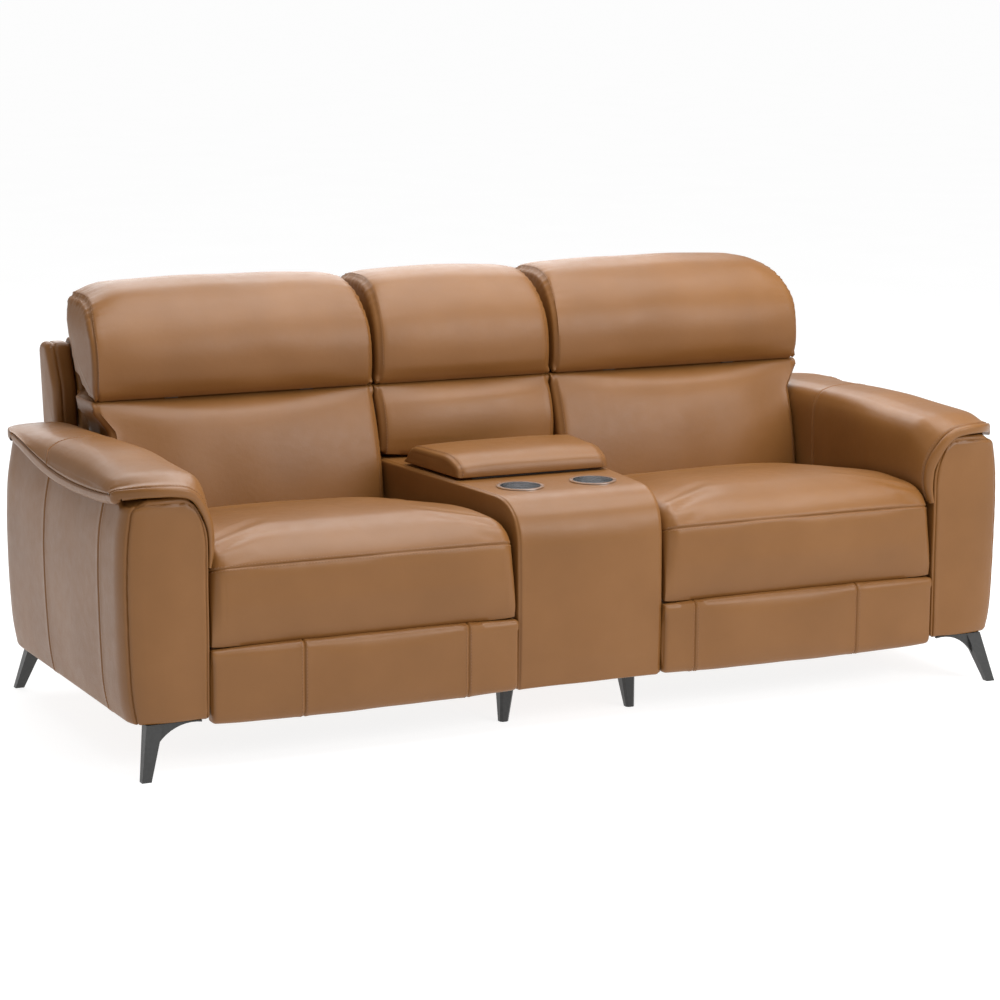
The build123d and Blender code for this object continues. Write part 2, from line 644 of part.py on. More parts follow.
# Console back: a fixed shell down to the console's underside
with BuildPart() as console_shell:
    with BuildSketch(Plane.YZ.offset(-CONSOLE_REAR / 2)):
        with BuildLine():
            shell_top()
            Polyline(at(BACK_REACH, SHELL_WAIST_Z), at(tail_rear, SHELL_TAIL_Z), at(tail_rear, CONSOLE_BASE),
                     at(CONSOLE_LENGTH, CONSOLE_BASE), at(CONSOLE_LENGTH, CONSOLE_TOP),
                     at(back_line(CONSOLE_TOP), CONSOLE_TOP), at(back_line(SHELL_TOP), SHELL_TOP))
        make_face()
    extrude(amount=CONSOLE_REAR)
save(console_shell, "console_back_shell")


def lumbar_profile(front, base):
    """Side outline of a lumbar cushion that leans on the back shell."""
    top = CREASE_Z - CREASE / 2
    rear_top = at(back_line(top) - TOUCH, top)
    rear_low = at(back_line(base) - TOUCH, base)
    brow = at(CREASE_BACK + LUMBAR_ROUND, top)
    cheek = at(CREASE_BACK, top - LUMBAR_ROUND)
    middle = at((front + CREASE_BACK) / 2 - LUMBAR_BULGE, (base + top) / 2)
    ThreePointArc(at(front, base), middle, cheek)
    RadiusArc(cheek, brow, LUMBAR_ROUND)
    Polyline(brow, rear_top, rear_low, at(front, base))


def head_profile(gap):
    """Side outline of a head cushion that bulges forwards and rolls back over the shell."""
    base = CREASE_Z + CREASE / 2
    jaw = at(CREASE_BACK + LUMBAR_ROUND / 2, base)
    brow = at(HEAD_BROW, HEAD_BROW_Z)
    crown = at(HEAD_CROWN, HEAD_TOP)
    nape = at(HEAD_REAR, HEAD_REAR_Z)
    tuck = at(back_line(SHELL_TOP) - gap, SHELL_TOP + gap)
    ThreePointArc(jaw, at(HEAD_FRONT, HEAD_BELLY_Z), brow)
    ThreePointArc(brow, at((HEAD_BROW + HEAD_CROWN) / 2 - CREASE, HEAD_TOP - CREASE * 2), crown)
    ThreePointArc(crown, at(HEAD_REAR - LUMBAR_ROUND * 2, HEAD_TOP - LUMBAR_ROUND), nape)
    ThreePointArc(nape, at(HEAD_REAR - LUMBAR_ROUND / 4, SHELL_TOP + LUMBAR_ROUND * 2), tuck)
    Polyline(tuck, at(back_line(base) - gap, base), jaw)


# Console cushions
with BuildPart() as console_lumbar:
    with BuildSketch(Plane.YZ.offset(-CONSOLE_REAR / 2)):
        with BuildLine():
            lumbar_profile(MID_LUMBAR_FRONT, MID_LUMBAR_BASE)
        make_face()
    extrude(amount=CONSOLE_REAR)
    front_cut(-CONSOLE_REAR / 2, CONSOLE_REAR / 2, MID_LUMBAR_BASE, CREASE_Z, SIDE_DRAW, SIDE_DRAW, CREASE)
save(console_lumbar, "console_lumbar_cushion")

with BuildPart() as console_head:
    with BuildSketch(Plane.YZ.offset(-CONSOLE_REAR / 2)):
        with BuildLine():
            head_profile(TOUCH)
        make_face()
    extrude(amount=CONSOLE_REAR)
    front_cut(-CONSOLE_REAR / 2, CONSOLE_REAR / 2, CREASE_Z, HEAD_TOP, SIDE_DRAW, SIDE_DRAW, CREASE)
save(console_head, "console_head_cushion")

# Seat cushion: a crowned pad whose front rolls down to the seam above the front panel
with BuildPart() as seat_cushion:
    bottom = FRAME_TOP + STRAP + TOUCH
    with BuildSketch(Plane.YZ.offset(-SEAT_OUT)):
        with BuildLine():
            seam = at(SEAT_LIP, SEAT_SEAM)
            brow = at(SEAT_LIP + SEAT_TOP - SEAT_SEAM, SEAT_TOP - CREASE / 2)
            tail = at(SEAT_DEPTH, SEAT_BACK_TOP)
            ThreePointArc(seam, at(SEAT_LIP + CREASE, SEAT_TOP - CREASE * 3), brow)
            ThreePointArc(brow, at(SEAT_DEPTH / 2, SEAT_TOP), tail)
            Polyline(tail, at(SEAT_DEPTH, bottom), at(SEAT_LIP + PANEL_THICK, bottom),
                     at(SEAT_LIP + PANEL_THICK, SEAT_SEAM), seam)
        make_face()
    extrude(amount=SEAT_OUT)
    front_cut(-SEAT_OUT, -seat_in(0), bottom, SEAT_TOP, SIDE_DRAW, SIDE_DRAW, SEAT_CROWN)
    plan_cut((-SEAT_OUT, -seat_in(0)), (-SEAT_OUT, -seat_in(SEAT_DEPTH)), SEAT_LIP, SEAT_DEPTH, FRONT_BOW)
save_pair(seat_cushion, "seat_cushion")

# Padded front panel under the seat's seam
with BuildPart() as front_panel:
    with BuildSketch(Plane.YZ.offset(-SEAT_OUT)):
        with BuildLine():
            chin = at(SEAT_LIP + PAD_ROUND, PANEL_BASE)
            cheek = at(SEAT_LIP, PANEL_BASE + PAD_ROUND)
            seam = at(SEAT_LIP, SEAT_SEAM - TOUCH)
            rear = SEAT_LIP + PANEL_THICK
            RadiusArc(chin, cheek, PAD_ROUND)
            Line(cheek, seam)
            Polyline(seam, at(rear, SEAT_SEAM - TOUCH), at(rear, PANEL_BASE), chin)
        make_face()
    extrude(amount=SEAT_OUT)
    front_cut(-SEAT_OUT, -seat_in(0), PANEL_BASE, SEAT_TOP, SIDE_DRAW / 2, SIDE_DRAW, SEAT_CROWN)
    plan_cut((-SEAT_OUT, -seat_in(0)), (-SEAT_OUT, -seat_in(SEAT_DEPTH)), SEAT_LIP, SEAT_DEPTH, FRONT_BOW)
save_pair(front_panel, "seat_front_panel")

# Timber seat frame: two sides, a front, a middle and a rear board
frame_front = SEAT_LIP + PANEL_THICK
tube_point = (FRONT_LINK_BACK, LINK_PIVOT_Z)
with BuildPart() as seat_frame:
    for x0 in (-FRAME_OUT, -FRAME_IN - BOARD):
        slab(x0, x0 + BOARD, frame_front, FRAME_REAR, FRAME_BASE, FRAME_TOP)
    rod(-FRAME_OUT, -FRAME_IN, tube_point, TORQUE_TUBE + 2 * FIT, mode=Mode.SUBTRACT)
    for back in (frame_front, CROSS_BOARD, FRAME_REAR - BOARD):
        slab(-FRAME_OUT + BOARD + TOUCH, -FRAME_IN - BOARD - TOUCH, back, back + BOARD, FRAME_BASE, FRAME_TOP)
save_pair(seat_frame, "seat_frame")

# Elastic webbing stretched from the front board to the rear board
with BuildPart() as webbing:
    pitch = (FRAME_OUT - FRAME_IN - STRAP_WIDTH) / (STRAPS - 1)
    for strap in range(STRAPS):
        x0 = -FRAME_OUT + strap * pitch
        slab(x0, x0 + STRAP_WIDTH, frame_front, FRAME_REAR, FRAME_TOP, FRAME_TOP + STRAP)
save_pair(webbing, "seat_webbing")

# Joints of the footrest linkage when it is folded away
front_pivot = (FRONT_LINK_BACK, LINK_PIVOT_Z)
rear_pivot = (REAR_LINK_BACK, LINK_PIVOT_Z)
front_joint = swing(front_pivot, LINK, LINK_REST_ANGLE)
rear_joint = swing(rear_pivot, LINK, LINK_REST_ANGLE)
heel_joint = swing(front_joint, HEEL, HEEL_ANGLE)
bracket_joint = (BRACKET_PIVOT_BACK, BRACKET_PIVOT_Z)
guide_joint = swing(bracket_joint, HEEL, HEEL_ANGLE)
recline_pivot = (RECLINE_BACK, RECLINE_Z)

# Side plates: they carry the seat frame, the links, the back hinge and the glides
with BuildPart() as side_plates:
    x0 = -PLATE_X_OUT
    with BuildSketch(Plane.YZ.offset(x0)):
        with BuildLine():
            Polyline(at(PLATE_FRONT, PLATE_TOP), at(RECLINE_BACK, PLATE_TOP),
                     at(RECLINE_BACK + RECLINE_EYE, RECLINE_Z), at(PLATE_FOOT_REAR, PLATE_BASE),
                     at(PLATE_FOOT_FRONT, PLATE_BASE), at(FRONT_LINK_BACK + 2 * LINK_EYE, FRAME_BASE),
                     at(PLATE_FRONT, LINK_PIVOT_Z - 2 * LINK_EYE), close=True)
        make_face()
    extrude(amount=PLATE)
    slab(x0 + PLATE + TOUCH, -FRAME_OUT + FLANGE, PLATE_FOOT_FRONT, PLATE_FOOT_REAR,
         FRAME_BASE - PLATE, FRAME_BASE)
    for point in (front_pivot, rear_pivot):
        rod(x0, LINK_X + PLATE, point, STUD)
    rod(x0, LINK_X + PLATE, recline_pivot, RECLINE_STUD)
    for back in (GLIDE_FRONT, GLIDE_REAR):
        slab(rail_web + RAIL_SHEET + FIT, x0 - TOUCH, back - GLIDE_LONG / 2, back + GLIDE_LONG / 2,
             GLIDE_Z - GLIDE_HALF, GLIDE_Z + GLIDE_HALF)
    mirror(about=MID_PLANE)
save_pair(side_plates, "side_plates")

# Drive: a cross tube between the side plates, and the block that the screw pulls along the track
with BuildPart() as drive:
    track_top = STRETCHER_TOP + TRACK_HIGH
    slab(-SEAT_MID - BLOCK_WIDE / 2, -SEAT_MID + BLOCK_WIDE / 2, DRIVE_BACK - BLOCK_LONG / 2,
         DRIVE_BACK + BLOCK_LONG / 2, track_top + FIT, DRIVE_Z + BLOCK_LONG / 2)
    rod(-PLATE_X_OUT, -PLATE_X_IN, (DRIVE_BACK, DRIVE_Z), DRIVE_TUBE + TOUCH, mode=Mode.SUBTRACT)
    rod(-PLATE_X_OUT + PLATE, -PLATE_X_IN - PLATE, (DRIVE_BACK, DRIVE_Z), DRIVE_TUBE)
save_pair(drive, "drive_carriage")

# Gear motor that turns the footrest's torque tube
with BuildPart() as gear_motor:
    slab(-SEAT_MID - GEAR_WIDE / 2, -SEAT_MID + GEAR_WIDE / 2, CROSS_BOARD - GEAR_LONG, CROSS_BOARD,
         LINK_PIVOT_Z - GEAR_HIGH / 2, LINK_PIVOT_Z + GEAR_HIGH / 2)
    rod(-SEAT_MID - GEAR_WIDE / 2, -SEAT_MID + GEAR_WIDE / 2, tube_point, TORQUE_TUBE + FIT,
        mode=Mode.SUBTRACT)
save_pair(gear_motor, "footrest_motor")

# Front links, joined by the torque tube
with BuildPart() as front_links:
    eye_plate(LINK_X, (front_pivot, front_joint, heel_joint), LINK_EYE,
              (front_pivot, front_joint, heel_joint), STUD + FIT)
    mirror(about=MID_PLANE)
    rod(LINK_X + PLATE + TOUCH, -PLATE_X_IN - LAYER - PLATE - TOUCH, tube_point, TORQUE_TUBE)
save_pair(front_links, "front_links")

# Rear links
with BuildPart() as rear_links:
    eye_plate(LINK_X, (rear_pivot, rear_joint), LINK_EYE, (rear_pivot, rear_joint), STUD + FIT)
    mirror(about=MID_PLANE)
save_pair(rear_links, "rear_links")

# Upper links: three-cornered plates with a stud at each joint
with BuildPart() as upper_links:
    eye_plate(UPPER_X, (front_joint, rear_joint, bracket_joint), LINK_EYE, (), STUD)
    for point in (front_joint, rear_joint, bracket_joint):
        rod(LINK_X, UPPER_X, point, STUD)
    mirror(about=MID_PLANE)
save_pair(upper_links, "upper_links")

# Lower links that keep the footrest turning with the front links
with BuildPart() as lower_links:
    eye_plate(UPPER_X, (heel_joint, guide_joint), LINK_EYE - PLATE / 2, (), STUD)
    for point in (heel_joint, guide_joint):
        rod(LINK_X, UPPER_X, point, STUD)
    mirror(about=MID_PLANE)
save_pair(lower_links, "lower_links")

# Footrest pad: crowned, with two sewn channels
pad_rear = SEAT_LIP + PANEL_THICK - FOOT_BOARD
with BuildPart() as footrest_pad:
    with BuildSketch(Plane.YZ.offset(-SEAT_OUT)):
        with BuildLine():
            chin = at(SEAT_LIP + PAD_ROUND, PAD_BASE)
            cheek = at(SEAT_LIP + PAD_BULGE / 2, PAD_BASE + PAD_ROUND)
            brow = at(SEAT_LIP + PAD_BULGE / 2, PAD_TOP - PAD_ROUND)
            top = at(SEAT_LIP + PAD_ROUND, PAD_TOP)
            ThreePointArc(chin, at(SEAT_LIP + PAD_ROUND / 2, PAD_BASE + PAD_ROUND / 4), cheek)
            ThreePointArc(cheek, at(SEAT_LIP - PAD_BULGE / 2, (PAD_BASE + PAD_TOP) / 2), brow)
            ThreePointArc(brow, at(SEAT_LIP + PAD_ROUND / 2, PAD_TOP - PAD_ROUND / 4), top)
            Polyline(top, at(pad_rear, PAD_TOP), at(pad_rear, PAD_BASE), chin)
        make_face()
    extrude(amount=SEAT_OUT)
    plan_cut((-SEAT_OUT, -seat_in(0)), (-SEAT_OUT, -seat_in(pad_rear)), SEAT_LIP - PAD_BULGE / 2,
             pad_rear, FRONT_BOW / 2)
    with BuildSketch(Plane.XY):
        front = FACE_Y + SEAT_LIP - PAD_BULGE / 2 - SEAM_DEEP
        for x in (-SEAT_OUT + PAD_SEAM_OUT, -seat_in(0) - PAD_SEAM_IN):
            with BuildLine():
                Polyline((x - SEAM_WIDTH, front), (x + SEAM_WIDTH, front),
                         (x, front + 2 * SEAM_DEEP + PAD_BULGE / 2), close=True)
            make_face()
    extrude(amount=LIMIT, mode=Mode.SUBTRACT)
save_pair(footrest_pad, "footrest_pad")

# Footrest board with the brackets that hang it on the links
bracket_front = pad_rear + FOOT_BOARD + TOUCH
with BuildPart() as footrest_frame:
    with BuildSketch(Plane.YZ.offset(LINK_X)):
        for point in (bracket_joint, guide_joint):
            with Locations(at(*point)):
                Circle(LINK_EYE - PLATE / 2)
        for z in (FOOT_PLATE_LOW, FOOT_PLATE_HIGH):
            with Locations(at(bracket_front + PLATE / 2, z)):
                Rectangle(PLATE, PLATE)
        make_hull()
        for point in (bracket_joint, guide_joint):
            with Locations(at(*point)):
                Circle(STUD + FIT, mode=Mode.SUBTRACT)
    extrude(amount=PLATE)
    slab(LINK_X, LINK_X + FOOT_FLANGE, bracket_front, bracket_front + PLATE, FOOT_PLATE_LOW, FOOT_PLATE_HIGH)
    mirror(about=MID_PLANE)
    slab(LINK_X - FOOT_BOARD_MARGIN, -PLATE_X_IN - LAYER + FOOT_BOARD_MARGIN, pad_rear, pad_rear + FOOT_BOARD,
         PAD_BASE + FOOT_BOARD_MARGIN, PAD_TOP - FOOT_BOARD_MARGIN)
save_pair(footrest_frame, "footrest_frame")

# Back shell: a padded wedge with a lower apron, and an ear that shows behind the arm
shell_out = ARM_IN - SHELL_SIDE
with BuildPart() as back_shell:
    rear_slope = SHELL_TAIL_SET / (SHELL_WAIST_Z - SHELL_TAIL_Z)
    apron_top = SHELL_TAIL_TOP - TOUCH
    with BuildSketch(Plane.YZ.offset(-shell_out)):
        with BuildLine():
            shell_top()
            Polyline(at(BACK_REACH, SHELL_WAIST_Z),
                     at(tail_rear + (SHELL_TAIL_TOP - SHELL_TAIL_Z) * rear_slope, SHELL_TAIL_TOP),
                     at(tail_front, SHELL_TAIL_TOP), at(BACK_FOOT, BACK_FOOT_Z),
                     at(back_line(SHELL_TOP), SHELL_TOP))
        make_face()
    extrude(amount=shell_out - BACK_IN)
    with BuildSketch(Plane.YZ.offset(-shell_out)):
        with BuildLine():
            Polyline(at(tail_front, apron_top), at(tail_front, SHELL_TAIL_Z), at(tail_rear, SHELL_TAIL_Z),
                     at(tail_rear + (apron_top - SHELL_TAIL_Z) * rear_slope, apron_top), close=True)
        make_face()
    extrude(amount=shell_out - BACK_IN)
    with BuildSketch(Plane.YZ.offset(-ARM_IN - EAR)):
        with BuildLine():
            shell_top()
            Polyline(at(BACK_REACH, SHELL_WAIST_Z), at(ARM_DEPTH + EAR_BEHIND, SHELL_WAIST_Z),
                     at(ARM_DEPTH + EAR_BEHIND, EAR_BASE), at(back_line(EAR_BASE), EAR_BASE),
                     at(back_line(SHELL_TOP), SHELL_TOP))
        make_face()
    extrude(amount=ARM_IN + EAR - shell_out - TOUCH)
save_pair(back_shell, "back_shell")

# Back hinge brackets under the shell, and the rod in the crease that the headrest turns on
with BuildPart() as back_brackets:
    reach = BACK_FOOT + BRACKET_REACH
    with BuildSketch(Plane.YZ.offset(LINK_X)):
        with Locations(at(*recline_pivot)):
            Circle(RECLINE_EYE)
        for back in (BACK_FOOT + PLATE, reach - PLATE):
            with Locations(at(back, shell_base(back) - 2 * PLATE)):
                Rectangle(PLATE, PLATE)
        make_hull()
        with Locations(at(*recline_pivot)):
            Circle(RECLINE_STUD + FIT, mode=Mode.SUBTRACT)
    extrude(amount=PLATE)
    with BuildSketch(Plane.YZ.offset(LINK_X)):
        with BuildLine():
            Polyline(at(BACK_FOOT, shell_base(BACK_FOOT) - TOUCH), at(reach, shell_base(reach) - TOUCH),
                     at(reach, shell_base(reach) - 2 * PLATE),
                     at(BACK_FOOT, shell_base(BACK_FOOT) - 2 * PLATE), close=True)
        make_face()
    extrude(amount=BRACKET_FLANGE)
    mirror(about=MID_PLANE)
    rod(-SEAT_OUT + 2 * SIDE_DRAW, -BACK_IN - 2 * SIDE_DRAW, (HEAD_AXIS_BACK, CREASE_Z), HEAD_ROD)
save_pair(back_brackets, "back_ironwork")

head_axis = (HEAD_AXIS_BACK, CREASE_Z)
strap_places = (-SEAT_MID - ARM_STRAP_SPREAD / 2, -SEAT_MID + ARM_STRAP_SPREAD / 2)
ring = HEAD_ROD + FIT + STRAP_RING

# Lumbar cushion: crowned, leaning on the shell, with notches for the headrest's hinge arms
with BuildPart() as lumbar:
    with BuildSketch(Plane.YZ.offset(-SEAT_OUT)):
        with BuildLine():
            lumbar_profile(LUMBAR_FRONT, LUMBAR_BASE)
        make_face()
    extrude(amount=SEAT_OUT - BACK_IN)
    front_cut(-SEAT_OUT, -BACK_IN, LUMBAR_BASE, CREASE_Z, SIDE_DRAW, SIDE_DRAW, CREASE)
    plan_cut((-SEAT_OUT, -BACK_IN), (-SEAT_OUT, -BACK_IN), LUMBAR_FRONT - BACK_BOW, BACK_REACH, BACK_BOW)
    for x in strap_places:
        rod(x - ARM_STRAP_WIDE / 2 - FIT, x + ARM_STRAP_WIDE / 2 + FIT, head_axis, ring + FIT,
            mode=Mode.SUBTRACT)
save_pair(lumbar, "lumbar_cushion")

# Headrest cushion with pockets for its hinge arms
with BuildPart() as headrest:
    with BuildSketch(Plane.YZ.offset(-HEAD_OUT)):
        with BuildLine():
            head_profile(HEAD_GAP)
        make_face()
    extrude(amount=HEAD_OUT - BACK_IN)
    front_cut(-HEAD_OUT, -BACK_IN, CREASE_Z, HEAD_TOP, SIDE_DRAW, HEAD_CORNER, CREASE, flare=2 * SIDE_DRAW)
    plan_cut((-HEAD_OUT, -BACK_IN), (-HEAD_OUT, -BACK_IN), HEAD_FRONT - CREASE, BACK_REACH, BACK_BOW)
    for x in strap_places:
        rod(x - ARM_STRAP_WIDE / 2 - TOUCH, x + ARM_STRAP_WIDE / 2 + TOUCH, head_axis, ring + TOUCH,
            mode=Mode.SUBTRACT)
        slab(x - ARM_STRAP_WIDE / 2 - TOUCH, x + ARM_STRAP_WIDE / 2 + TOUCH,
             HEAD_AXIS_BACK - ARM_STRAP / 2 - TOUCH, HEAD_AXIS_BACK + ARM_STRAP / 2 + TOUCH,
             CREASE_Z, CREASE_Z + ARM_STRAP_HIGH + TOUCH, mode=Mode.SUBTRACT)
save_pair(headrest, "headrest_cushion")

# Headrest hinge arms: a ring round the rod and a strap up into the cushion
with BuildPart() as hinge_arms:
    for x in strap_places:
        rod(x - ARM_STRAP_WIDE / 2, x + ARM_STRAP_WIDE / 2, head_axis, ring)
        slab(x - ARM_STRAP_WIDE / 2, x + ARM_STRAP_WIDE / 2, HEAD_AXIS_BACK - ARM_STRAP / 2,
             HEAD_AXIS_BACK + ARM_STRAP / 2, CREASE_Z, CREASE_Z + ARM_STRAP_HIGH)
    rod(-SEAT_OUT, -BACK_IN, head_axis, HEAD_ROD + FIT, mode=Mode.SUBTRACT)
save_pair(hinge_arms, "headrest_arms")

# Switch bezels on the arms' inner faces, each with the pin of its rocker
pin_x = -ARM_IN - ROCKER_DEEP / 2
with BuildPart() as bezels:
    with BuildSketch(Plane.YZ.offset(-ARM_IN)):
        with Locations(at(SWITCH_BACK, SWITCH_Z)):
            Rectangle(BEZEL_LONG, BEZEL_HIGH)
            Rectangle(BEZEL_LONG - 2 * BEZEL_BORDER, BEZEL_HIGH - BEZEL_BORDER, mode=Mode.SUBTRACT)
    extrude(amount=BEZEL)
    with BuildSketch(Plane.XY.offset(SWITCH_Z - BEZEL_HIGH / 2 + BEZEL_BORDER / 2)):
        with Locations((pin_x, FACE_Y + SWITCH_BACK)):
            Circle(ROCKER_PIN)
    extrude(amount=BEZEL_HIGH - BEZEL_BORDER)
    mirror(about=Plane.YZ)
save(bezels, "switch_bezels")

# Rocker: a shallow dished key that tilts on the bezel's pin
with BuildPart() as rocker:
    rocker_half = BEZEL_LONG / 2 - BEZEL_BORDER - 2 * FIT
    rocker_high = BEZEL_HIGH - BEZEL_BORDER - 4 * FIT
    with BuildSketch(Plane.XY.offset(SWITCH_Z - rocker_high / 2)):
        with BuildLine():
            face = -ARM_IN + BEZEL + ROCKER_PROUD
            near = (face, FACE_Y + SWITCH_BACK - rocker_half)
            far = (face, FACE_Y + SWITCH_BACK + rocker_half)
            ThreePointArc(near, (face - ROCKER_DISH, FACE_Y + SWITCH_BACK), far)
            Polyline(far, (-ARM_IN - ROCKER_DEEP, far[1]), (-ARM_IN - ROCKER_DEEP, near[1]), near)
        make_face()
        with Locations((pin_x, FACE_Y + SWITCH_BACK)):
            Circle(ROCKER_PIN + FIT, mode=Mode.SUBTRACT)
    extrude(amount=rocker_high)
save_pair(rocker, "rocker_switch")
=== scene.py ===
"""Two-seat reclining sofa with a console, in tan leather, in a pale studio."""
import json

import bmesh
import bpy
import numpy as np
from math import pi, radians
from mathutils import Matrix


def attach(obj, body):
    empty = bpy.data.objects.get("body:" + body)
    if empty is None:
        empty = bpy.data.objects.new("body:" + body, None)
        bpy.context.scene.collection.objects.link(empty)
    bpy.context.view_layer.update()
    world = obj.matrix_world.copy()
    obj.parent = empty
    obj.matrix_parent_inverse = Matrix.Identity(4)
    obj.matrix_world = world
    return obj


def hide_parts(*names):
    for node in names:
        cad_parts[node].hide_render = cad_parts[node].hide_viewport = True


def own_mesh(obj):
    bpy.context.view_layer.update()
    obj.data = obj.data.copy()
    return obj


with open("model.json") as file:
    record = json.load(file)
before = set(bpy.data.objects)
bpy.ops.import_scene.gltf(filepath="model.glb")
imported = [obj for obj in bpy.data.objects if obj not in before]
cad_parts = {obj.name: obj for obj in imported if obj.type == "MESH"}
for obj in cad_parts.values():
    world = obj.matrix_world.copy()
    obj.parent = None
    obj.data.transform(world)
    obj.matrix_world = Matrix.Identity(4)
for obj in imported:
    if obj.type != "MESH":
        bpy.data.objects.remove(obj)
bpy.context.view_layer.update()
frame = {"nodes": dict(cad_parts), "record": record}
scene = bpy.context.scene

# Main places of the CAD in millimetres: x, depth behind the arms' front face at ORIGIN, and height
ORIGIN = np.array([0, -473.0, 0])
SEAT_OUT, SEAT_GAP = 858.5, 7.5
SEAT_REAR, SEAT_BASE, PANEL_BASE = 566.0, 339.5, 249.7
PAD_BASE, PAD_TOP, PAD_DEEP, PAD_IN = 95.5, 248.9, 36.5, 176.0
BACK_FOOT, BACK_FOOT_Z, BACK_RUN, BACK_RISE = 705.0, 340.0, 210.3, 435.0
LUMBAR_IN, LUMBAR_BASE, LUMBAR_TOP = 226.0, 388.0, 665.6
HEAD_IN, HEAD_OUT, HEAD_BASE = 227.0, 883.0, 668.0
MID_HALF, MID_BASE = 221.0, 508.0
SHELL_OUT, SHELL_IN, SHELL_TOP, SHELL_REAR = 851.0, 232.0, 773.0, 968.5
SHELL_WAIST, SHELL_TAIL, SHELL_FOOT = 562.0, 907.0, 192.0
CONSOLE_HALF, CONSOLE_FLARE, CONSOLE_LONG = 172.0, 50.0, 640.0
CONSOLE_BASE, CONSOLE_TOP, LID_BASE = 93.0, 499.0, 503.4
ARM_BASE, ARM_IN, ARM_REAR = 109.0, 866.3, 846.0
RECLINE_BACK, RECLINE_SLOPE = 640.0, 0.577

# Marks the vertices that close a sweep's ends, and a distance that no seam reaches
END, FAR = -1e3, 1e3
# A gusset's seam lies at this share of its cushion's rounded edge
GUSSET = 0.42


def console_half(d):
    """Half the console's width, which grows towards the back."""
    return CONSOLE_HALF + CONSOLE_FLARE * d / CONSOLE_LONG


def back_line(z):
    """The depth of the leaning face that the back cushions rest on."""
    return BACK_FOOT + BACK_RUN * (z - BACK_FOOT_Z) / BACK_RISE


# Curves and outlines

def smooth(*knots):
    """A smooth function through the given points."""
    xs, ys = np.array(knots, float).T
    slope = np.gradient(ys, xs)

    def value(x):
        x = np.clip(x, xs[0], xs[-1])
        i = np.clip(np.searchsorted(xs, x) - 1, 0, len(xs) - 2)
        h = xs[i + 1] - xs[i]
        t = (x - xs[i]) / h
        return ((2 * t**3 - 3 * t**2 + 1) * ys[i] + (t**3 - 2 * t**2 + t) * h * slope[i]
                + (3 * t**2 - 2 * t**3) * ys[i + 1] + (t**3 - t**2) * h * slope[i + 1])
    return value


def unit(v):
    """Vectors scaled to a length of 1."""
    return v / np.maximum(np.linalg.norm(v, axis=-1, keepdims=True), 1e-9)


def outline(*corners):
    """A closed line from corners (depth, height, rounding, bulge of the edge that follows)."""
    pts = np.array([c[:2] for c in corners], float)
    n = len(pts)
    turn = np.sum(pts[:, 0] * np.roll(pts[:, 1], -1) - np.roll(pts[:, 0], -1) * pts[:, 1])
    ends = []
    for i in range(n):
        before, after = pts[i - 1] - pts[i], pts[(i + 1) % n] - pts[i]
        la, lb = np.linalg.norm(before), np.linalg.norm(after)
        reach = min(corners[i][2], 0.49 * la, 0.49 * lb)
        ends.append((pts[i] + before / la * reach, pts[i] + after / lb * reach))
    line = []
    for i in range(n):
        a, b = ends[i]
        t = np.linspace(0, 1, 25)[:, None]
        line.append((1 - t)**2 * a + 2 * t * (1 - t) * pts[i] + t**2 * b)
        c = ends[(i + 1) % n][0]
        run = c - b
        out = np.array([run[1], -run[0]]) / max(np.linalg.norm(run), 1e-9) * np.sign(turn)
        s = np.linspace(0, 1, max(3, int(np.linalg.norm(run) / 3)))[1:-1, None]
        line.append(b + s * run + out * corners[i][3] * (1 - (2 * s - 1)**2))
    line = np.vstack(line)
    keep = np.linalg.norm(line - np.roll(line, 1, axis=0), axis=1) > 1e-3
    return line[keep]


# Distances from a seam at which a surface gets extra points, the least step, and the step round an edge
NEAR = np.array([0.9, 1.8, 2.9, 4.4, 6.6, 10.0])
LEAST_STEP, ROUND_STEP = 0.7, 4.5


def places(length, step, marks, closed):
    """Positions along a line about one step apart, closer together near the marks."""
    grid = list(np.linspace(0, length, max(4, int(length / step)) + 1)[: -1 if closed else None])
    offsets = np.concatenate([-NEAR[::-1], [0], NEAR])
    fine = [m + o for m in marks for o in offsets if 0 < m + o < length]
    gap = 0.45 * step
    ends = () if closed else (0, length)
    rough = [g for g in grid if all(abs(g - f) > gap for f in fine) or g in ends]
    mixed = sorted(rough + fine)
    done = [mixed[0]]
    for p in mixed[1:]:
        if p - done[-1] > LEAST_STEP:
            done.append(p)
    if not closed:
        done[-1] = length
    return np.array(done)


def resample(line, step, marks=()):
    """Points round a closed line, each one's distance from the start, and the marks' distances."""
    loop = np.vstack([line, line[:1]])
    run = np.concatenate([[0], np.cumsum(np.linalg.norm(np.diff(loop, axis=0), axis=1))])
    spots = [run[np.argmin(np.linalg.norm(line - np.array(m), axis=1))] for m in marks]
    s = places(run[-1], step, spots, True)
    return np.column_stack([np.interp(s, run, loop[:, 0]), np.interp(s, run, loop[:, 1])]), s, spots


def outward(pts):
    """Unit normals of a closed line, pointing out of it."""
    ahead = np.roll(pts, -1, axis=0) - np.roll(pts, 1, axis=0)
    turn = np.sum(pts[:, 0] * np.roll(pts[:, 1], -1) - np.roll(pts[:, 0], -1) * pts[:, 1])
    return unit(np.column_stack([ahead[:, 1], -ahead[:, 0]]) * np.sign(turn))


